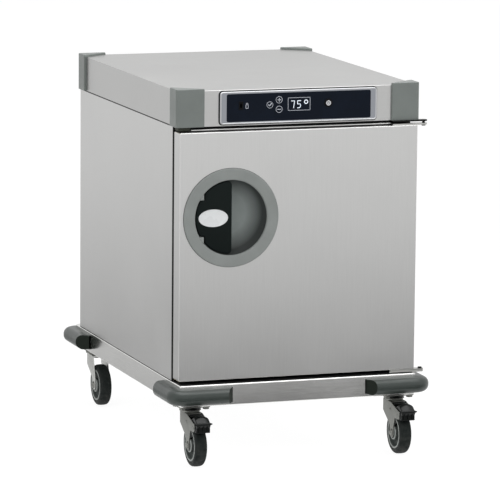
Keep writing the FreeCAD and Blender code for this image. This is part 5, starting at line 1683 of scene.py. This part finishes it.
@dataclass
class DoorSeal:
    """Door gasket: a bellows section carried round a rectangle with rounded corners.

    The section is given in shares, as (across the seal, off the door).
    """

    corner: float = 0.020
    width: float = 0.014
    sharp_angle: float = 60.0
    section: tuple = ((0.05, 0.0), (0.05, 0.12), (0.2, 0.2), (0.25, 0.3), (0.05, 0.4), (0.0, 0.6),
                      (0.08, 0.8), (0.25, 0.93), (0.5, 1.0), (0.75, 0.93), (0.92, 0.8), (1.0, 0.6),
                      (0.95, 0.4), (0.75, 0.3), (0.8, 0.2), (0.95, 0.12), (0.95, 0.0))

    def build(self) -> list[Piece]:
        """The gasket: the section's places across are insets of the outline, its heights stand off it."""
        box = Box("door_gasket")
        across, lift = np.array(self.section).T
        rings = inset(box.front(0.0, 0.0, self.corner, 10), across * self.width)
        shell = skin(Axis.Y, box.y0 + 2 * box.half_y * lift, rings, along=True)
        return [Piece("door_gasket_bellows", shell, GASKET_AND_PAINTED_SHADE, "gasket_rubber", "door", ("door_gasket",),
                      self.sharp_angle)]


@dataclass
class DoorTop:
    """What shows in the gap over the door: a folded drip rail with its channel black as painted shade, and a
    rest pad at the latch side.
    """

    pad_length: float = 0.038
    pad_clear: float = 0.0025
    pad_corner: float = 0.003
    pad_edge: float = 0.002
    setback: float = 0.0015
    sheet: float = 0.0012
    depth: float = 0.020
    drop: float = 0.0076
    lip: float = 0.0032
    lip_depth: float = 0.004
    lip_radii: tuple = (0.0003, 0.0003, 0.0003, 0.0003, 0.0003, 0.001)

    def build(self) -> list[Piece]:
        """Rail's lip and channel: folded sections carried across the door, the channel black as painted shade
        of the recess. Pad: a block with soft rims.

        Returns:
            The lip, the channel and the pad.
        """
        lid, door, setback = Box("top_cover"), Box("door_outer_skin"), self.setback
        front, under, pad_end = lid.y0 + setback, lid.z0, door.x0 + self.pad_length
        ends = pad_end + setback, Box("hinge_brackets").x0 - setback
        tread = under - self.drop
        lip, floor = tread - self.lip, tread - self.sheet
        fold, inner, back = front + self.sheet, front + self.lip_depth, front + self.depth
        hook = [(front, lip), (fold, lip), (fold, floor), (inner, floor), (inner, tread), (front, tread)]
        rail = slab(Axis.X, *ends, rounded(hook, self.lip_radii, 3))
        rise = back - self.sheet
        trough = [(inner, floor), (back, floor), (back, under), (rise, under), (rise, tread), (inner, tread)]
        channel = slab(Axis.X, *ends, np.array(trough))
        plan = rectangle(door.x0 + setback, pad_end, front, door.y1 + setback, self.pad_corner)
        pad = slab(Axis.Z, door.z1 + self.pad_clear, under, plan, self.pad_edge)
        return [Piece("drip_rail", rail, STEEL, "stainless_outer"),
                # The channel is steel given the black rubber finish: painted shade of the recess behind the
                # rail's lip.
                Piece("drip_rail_channel", channel, GASKET_AND_PAINTED_SHADE, "gasket_rubber"),
                Piece("door_rest_pad", pad, PAD, "gasket_rubber")]


@dataclass
class Hinges:
    """Fixed hinge plates on the chassis and under the lid, with their pins and pin heads."""

    width: float = 0.020
    thickness: float = 0.004
    corner: float = 0.001
    gap: float = 0.0005
    overhang: float = 0.032
    pin: float = 0.004
    head: float = 0.006
    head_height: float = 0.003
    edge: float = 0.0007

    def build(self) -> list[Piece]:
        """Both plates with a round end about the hinge axis, and the pins, turned about that axis.

        Returns:
            The lower plate, the upper plate and the pins.
        """
        box, door, half = Box("hinge_brackets"), Box("door_outer_skin"), self.width / 2
        inner, low, high = box.y0 + self.width, Box("hinge_arms").z0 - self.gap, box.z1 - self.thickness
        ends = [(box.x0, box.y0), (box.x1, box.y0), (box.x1, inner), (box.x0, inner)]
        outline = rounded(ends, [self.corner, half * NEARLY_HALF, half * NEARLY_HALF, self.corner], 8)
        tail = rectangle(box.x0, box.x1 - self.overhang, inner, box.y1)
        centre = (box.x1 - half, box.y0 + half)
        plates = (slab(Axis.Z, box.z0, low, outline, 0.0, self.edge),
                  join(*(slab(Axis.Z, high, box.z1, plan, self.edge) for plan in (outline, tail))))
        pins = join(self.bolt(centre, low, door.z0 + self.gap, 1),
                    self.bolt(centre, high, door.z1 - self.gap, -1))
        looks = (("lower_plate", HINGE_STEEL), ("upper_plate", BLACKED), ("pins", BLACKED))
        return [Piece("hinge_" + name, shell, finish, "hinge_steel", stands_for=("hinge_brackets",))
                for (name, finish), shell in zip(looks, (*plates, pins))]

    def bolt(self, centre: Places, start: float, seat: float, way: int) -> Shell:
        """Pin from a plate to its head's seat, and the head with a chamfered rim, way up or down from it."""
        far = seat + way * self.head_height
        profile = [(start, 0.0), (start, self.pin), (seat, self.pin), (seat, self.head)]
        profile += [(far - way * self.edge, self.head), (far, self.head - self.edge), (far, 0.0)]
        return turned(Axis.Z, centre, profile, steps=32)


@dataclass
class Fasteners:
    """Rivet heads on the rear panel and screw heads on the inlet."""

    rivet_radius: float = 0.0045
    rivet_height: float = 0.0018
    rivet_side: float = 0.012
    rivet_end: float = 0.03
    rivet_count: int = 6
    screw_radius: float = 0.0028
    screw_height: float = 0.0012
    screw_side: float = 0.0055

    def build(self) -> list[Piece]:
        """Rivets in two columns on the rear panel and two screws on the mains inlet, all turned heads.

        Returns:
            The rivets and the screws.
        """
        rear, inlet = Box("rear_panel"), Box("power_inlet")
        levels = np.linspace(rear.z0 + self.rivet_end, rear.z1 - self.rivet_end, self.rivet_count)
        rivets = [dome(Axis.Y, rear.y1, self.rivet_height, (x, z), self.rivet_radius)
                  for x in (rear.x0 + self.rivet_side, rear.x1 - self.rivet_side) for z in levels]
        screws = [dome(Axis.Y, inlet.y1, self.screw_height, (x, inlet.z), self.screw_radius)
                  for x in (inlet.x0 + self.screw_side, inlet.x1 - self.screw_side)]
        return [Piece("rear_panel_rivets", join(*rivets), STEEL, "stainless_outer"),
                Piece("inlet_screws", join(*screws), ZINC, "zinc_steel")]


def dress_nodes() -> None:
    """Give every node of the frame the finish of its slot; the lid's grain runs across the trolley."""
    slots = {part["node"]: part["material_slot"] for part in frame["record"]["subparts"]}
    for name, node in frame["nodes"].items():
        finish = STEEL_TOP if name == "top_cover" else SLOT_FINISHES[slots[name]]
        node.data.materials.clear()
        node.data.materials.append(finish.material())
        LOG.info("%s: %s", name, finish.name)


@dataclass(frozen=True)
class Card:
    """Level card that only reflections see: its edges, its height and its near and far brightness."""

    name: str
    across: tuple[float, float]
    along: tuple[float, float]
    height: float
    levels: tuple[float, float]

    def build(self) -> None:
        """Make the card, whose brightness changes evenly from its near edge to its far one."""
        made = plain_object(self.name, level_sheet(self.across, self.along, self.height, 5))
        material, graph = new_material(self.name)
        place = graph.add("ShaderNodeSeparateXYZ", Vector=graph.here()).outputs["Y"]
        glow = graph.add("ShaderNodeEmission", Strength=graph.ramp(place, *self.along, *self.levels))
        graph.fill(material.node_tree.nodes["Material Output"].inputs, Surface=glow.outputs["Emission"])
        made.data.materials.append(material)
        for ray in ("camera", "diffuse", "shadow", "transmission"):
            setattr(made, "visible_" + ray, False)


@dataclass
class Studio:
    """Pale floor, white surroundings, cards for the reflections, soft lamps and the camera.

    Each lamp is given as its name, its place and its power.
    """

    white: ClassVar[tuple] = (1.0, 1.0, 1.0, 1.0)
    floor_half: float = 40.0
    floor_glow: float = 1.15
    floor_tone: float = 0.85
    floor_rough: float = 0.9
    floor_share: float = 0.8
    ambient: float = 0.5
    cards: tuple[Card, ...] = (Card("card_front", (-1.6, 3.2), (-0.78, -3.9), 0.003, (0.04, 1.0)),
                               Card("card_left", (-4.0, -0.45), (0.2, 5.2), 0.003, (0.5, 1.0)),
                               Card("card_top", (-1.8, 1.8), (-2.6, 0.8), 3.4, (3.5, 3.5)))
    lamps: tuple = (("key", (3.8, -3.4, 3.0), 110.0), ("fill", (-3.8, -2.8, 2.4), 70.0),
                    ("top", (0.0, 0.4, 4.2), 44.0))
    lamp_size: float = 2.6
    azimuth: float = -19.08
    elevation: float = 9.18
    roll: float = 0.51
    distance: float = 11.853
    aim: tuple[float, float, float] = (0.0, -0.0025, 0.554)
    aim_right: float = 0.0193
    aim_down: float = 0.0221
    focal_pixels: float = 4000.0
    image_pixels: float = 500.0
    sensor: float = 36.0
    far_clip: float = 200.0

    def build(self) -> None:
        """Set the view, then make the world, the floor, the cards, the lamps and the camera."""
        bpy.context.scene.view_settings.view_transform = "Standard"
        self.world()
        self.floor()
        for card in self.cards:
            card.build()
        for name, place, power in self.lamps:
            self.lamp("softbox_" + name, place, power)
        self.camera()

    @staticmethod
    def seen(graph: Graph) -> Socket:
        """1 for camera, glossy and transmission rays, which show the surroundings, and 0 for the rest."""
        path = graph.add("ShaderNodeLightPath").outputs
        first = graph.sum("MAXIMUM", path["Is Camera Ray"], path["Is Glossy Ray"])
        return graph.sum("MAXIMUM", first, path["Is Transmission Ray"])

    def world(self) -> None:
        """White where it is seen, and a plain soft level for the rest."""
        world = bpy.data.worlds.new("studio")
        bpy.context.scene.world = world
        world.use_nodes = True
        graph = Graph(world.node_tree)
        level = graph.ramp(self.seen(graph), 0.0, 1.0, self.ambient, 1.0)
        graph.fill(world.node_tree.nodes["Background"].inputs, Color=self.white, Strength=level)

    def floor(self) -> None:
        """Large pale floor that shows white and keeps a faint shadow."""
        ends = (-self.floor_half, self.floor_half)
        made = plain_object("studio_floor", level_sheet(ends, ends, 0.0, 9))
        material, graph = new_material("studio_floor")
        shader = material.node_tree.nodes["Principled BSDF"]
        graph.fill(shader.inputs, Base_Color=(*[self.floor_tone] * 3, 1.0), Roughness=self.floor_rough,
                   Specular_IOR_Level=0.0)
        glow = graph.add("ShaderNodeEmission", Color=self.white, Strength=self.floor_glow).outputs["Emission"]
        share = graph.ramp(self.seen(graph), 0.0, 1.0, 0.0, self.floor_share)
        blend = graph.numbered("ShaderNodeMixShader", {}, share, shader.outputs["BSDF"], glow)
        graph.fill(material.node_tree.nodes["Material Output"].inputs, Surface=blend.outputs["Shader"])
        made.data.materials.append(material)

    def lamp(self, name: str, place: Places, power: float) -> None:
        """Make one square soft box that faces the trolley and doesn't show in reflections.

        Args:
            name: Name of the lamp.
            place: Where it stands.
            power: Its power in watts.
        """
        data = bpy.data.lights.new(name, "AREA")
        data.size, data.energy = self.lamp_size, power
        made = bpy.data.objects.new(name, data)
        towards = Vector(self.aim) - Vector(place)
        made.matrix_world = Matrix.Translation(place) @ towards.to_track_quat("-Z", "Y").to_matrix().to_4x4()
        made.visible_glossy = False
        bpy.context.scene.collection.objects.link(made)

    def camera(self) -> None:
        """Camera at the photograph's angle, turned a little about its own axis."""
        data = bpy.data.cameras.new("camera")
        data.sensor_width, data.clip_end = self.sensor, self.far_clip
        data.lens = self.focal_pixels / self.image_pixels * self.sensor
        turn, rise = math.radians(self.azimuth), math.radians(self.elevation)
        back = Vector((math.sin(turn) * math.cos(rise), -math.cos(turn) * math.cos(rise), math.sin(rise)))
        facing = back.to_track_quat("Z", "Y").to_matrix()
        facing = facing @ Matrix.Rotation(math.radians(self.roll), 3, "Z")
        aim = Vector(self.aim) + facing.col[0] * self.aim_right - facing.col[1] * self.aim_down
        made = bpy.data.objects.new("camera", data)
        made.matrix_world = Matrix.Translation(aim + back * self.distance) @ facing.to_4x4()
        bpy.context.scene.collection.objects.link(made)
        bpy.context.scene.camera = made


def main() -> None:
    """Dress the frame, build every sub-assembly and set up the studio."""
    logging.basicConfig(level=logging.INFO, format="%(name)s %(message)s")
    dress_nodes()
    assemblies = [kind(corner) for kind in (Castor, Bumper) for corner in Corner]
    assemblies += [kind() for kind in (CastorPlates, DoorHandle, ControlPanel, DoorSkin, Lid, Chassis,
                                       EdgeSealsPaintedShade, DoorSeal, DoorTop, Hinges, Fasteners)]
    for assembly in assemblies:
        for piece in assembly.build():
            piece.make()
    Studio().build()


if __name__ == "__main__":
    main()
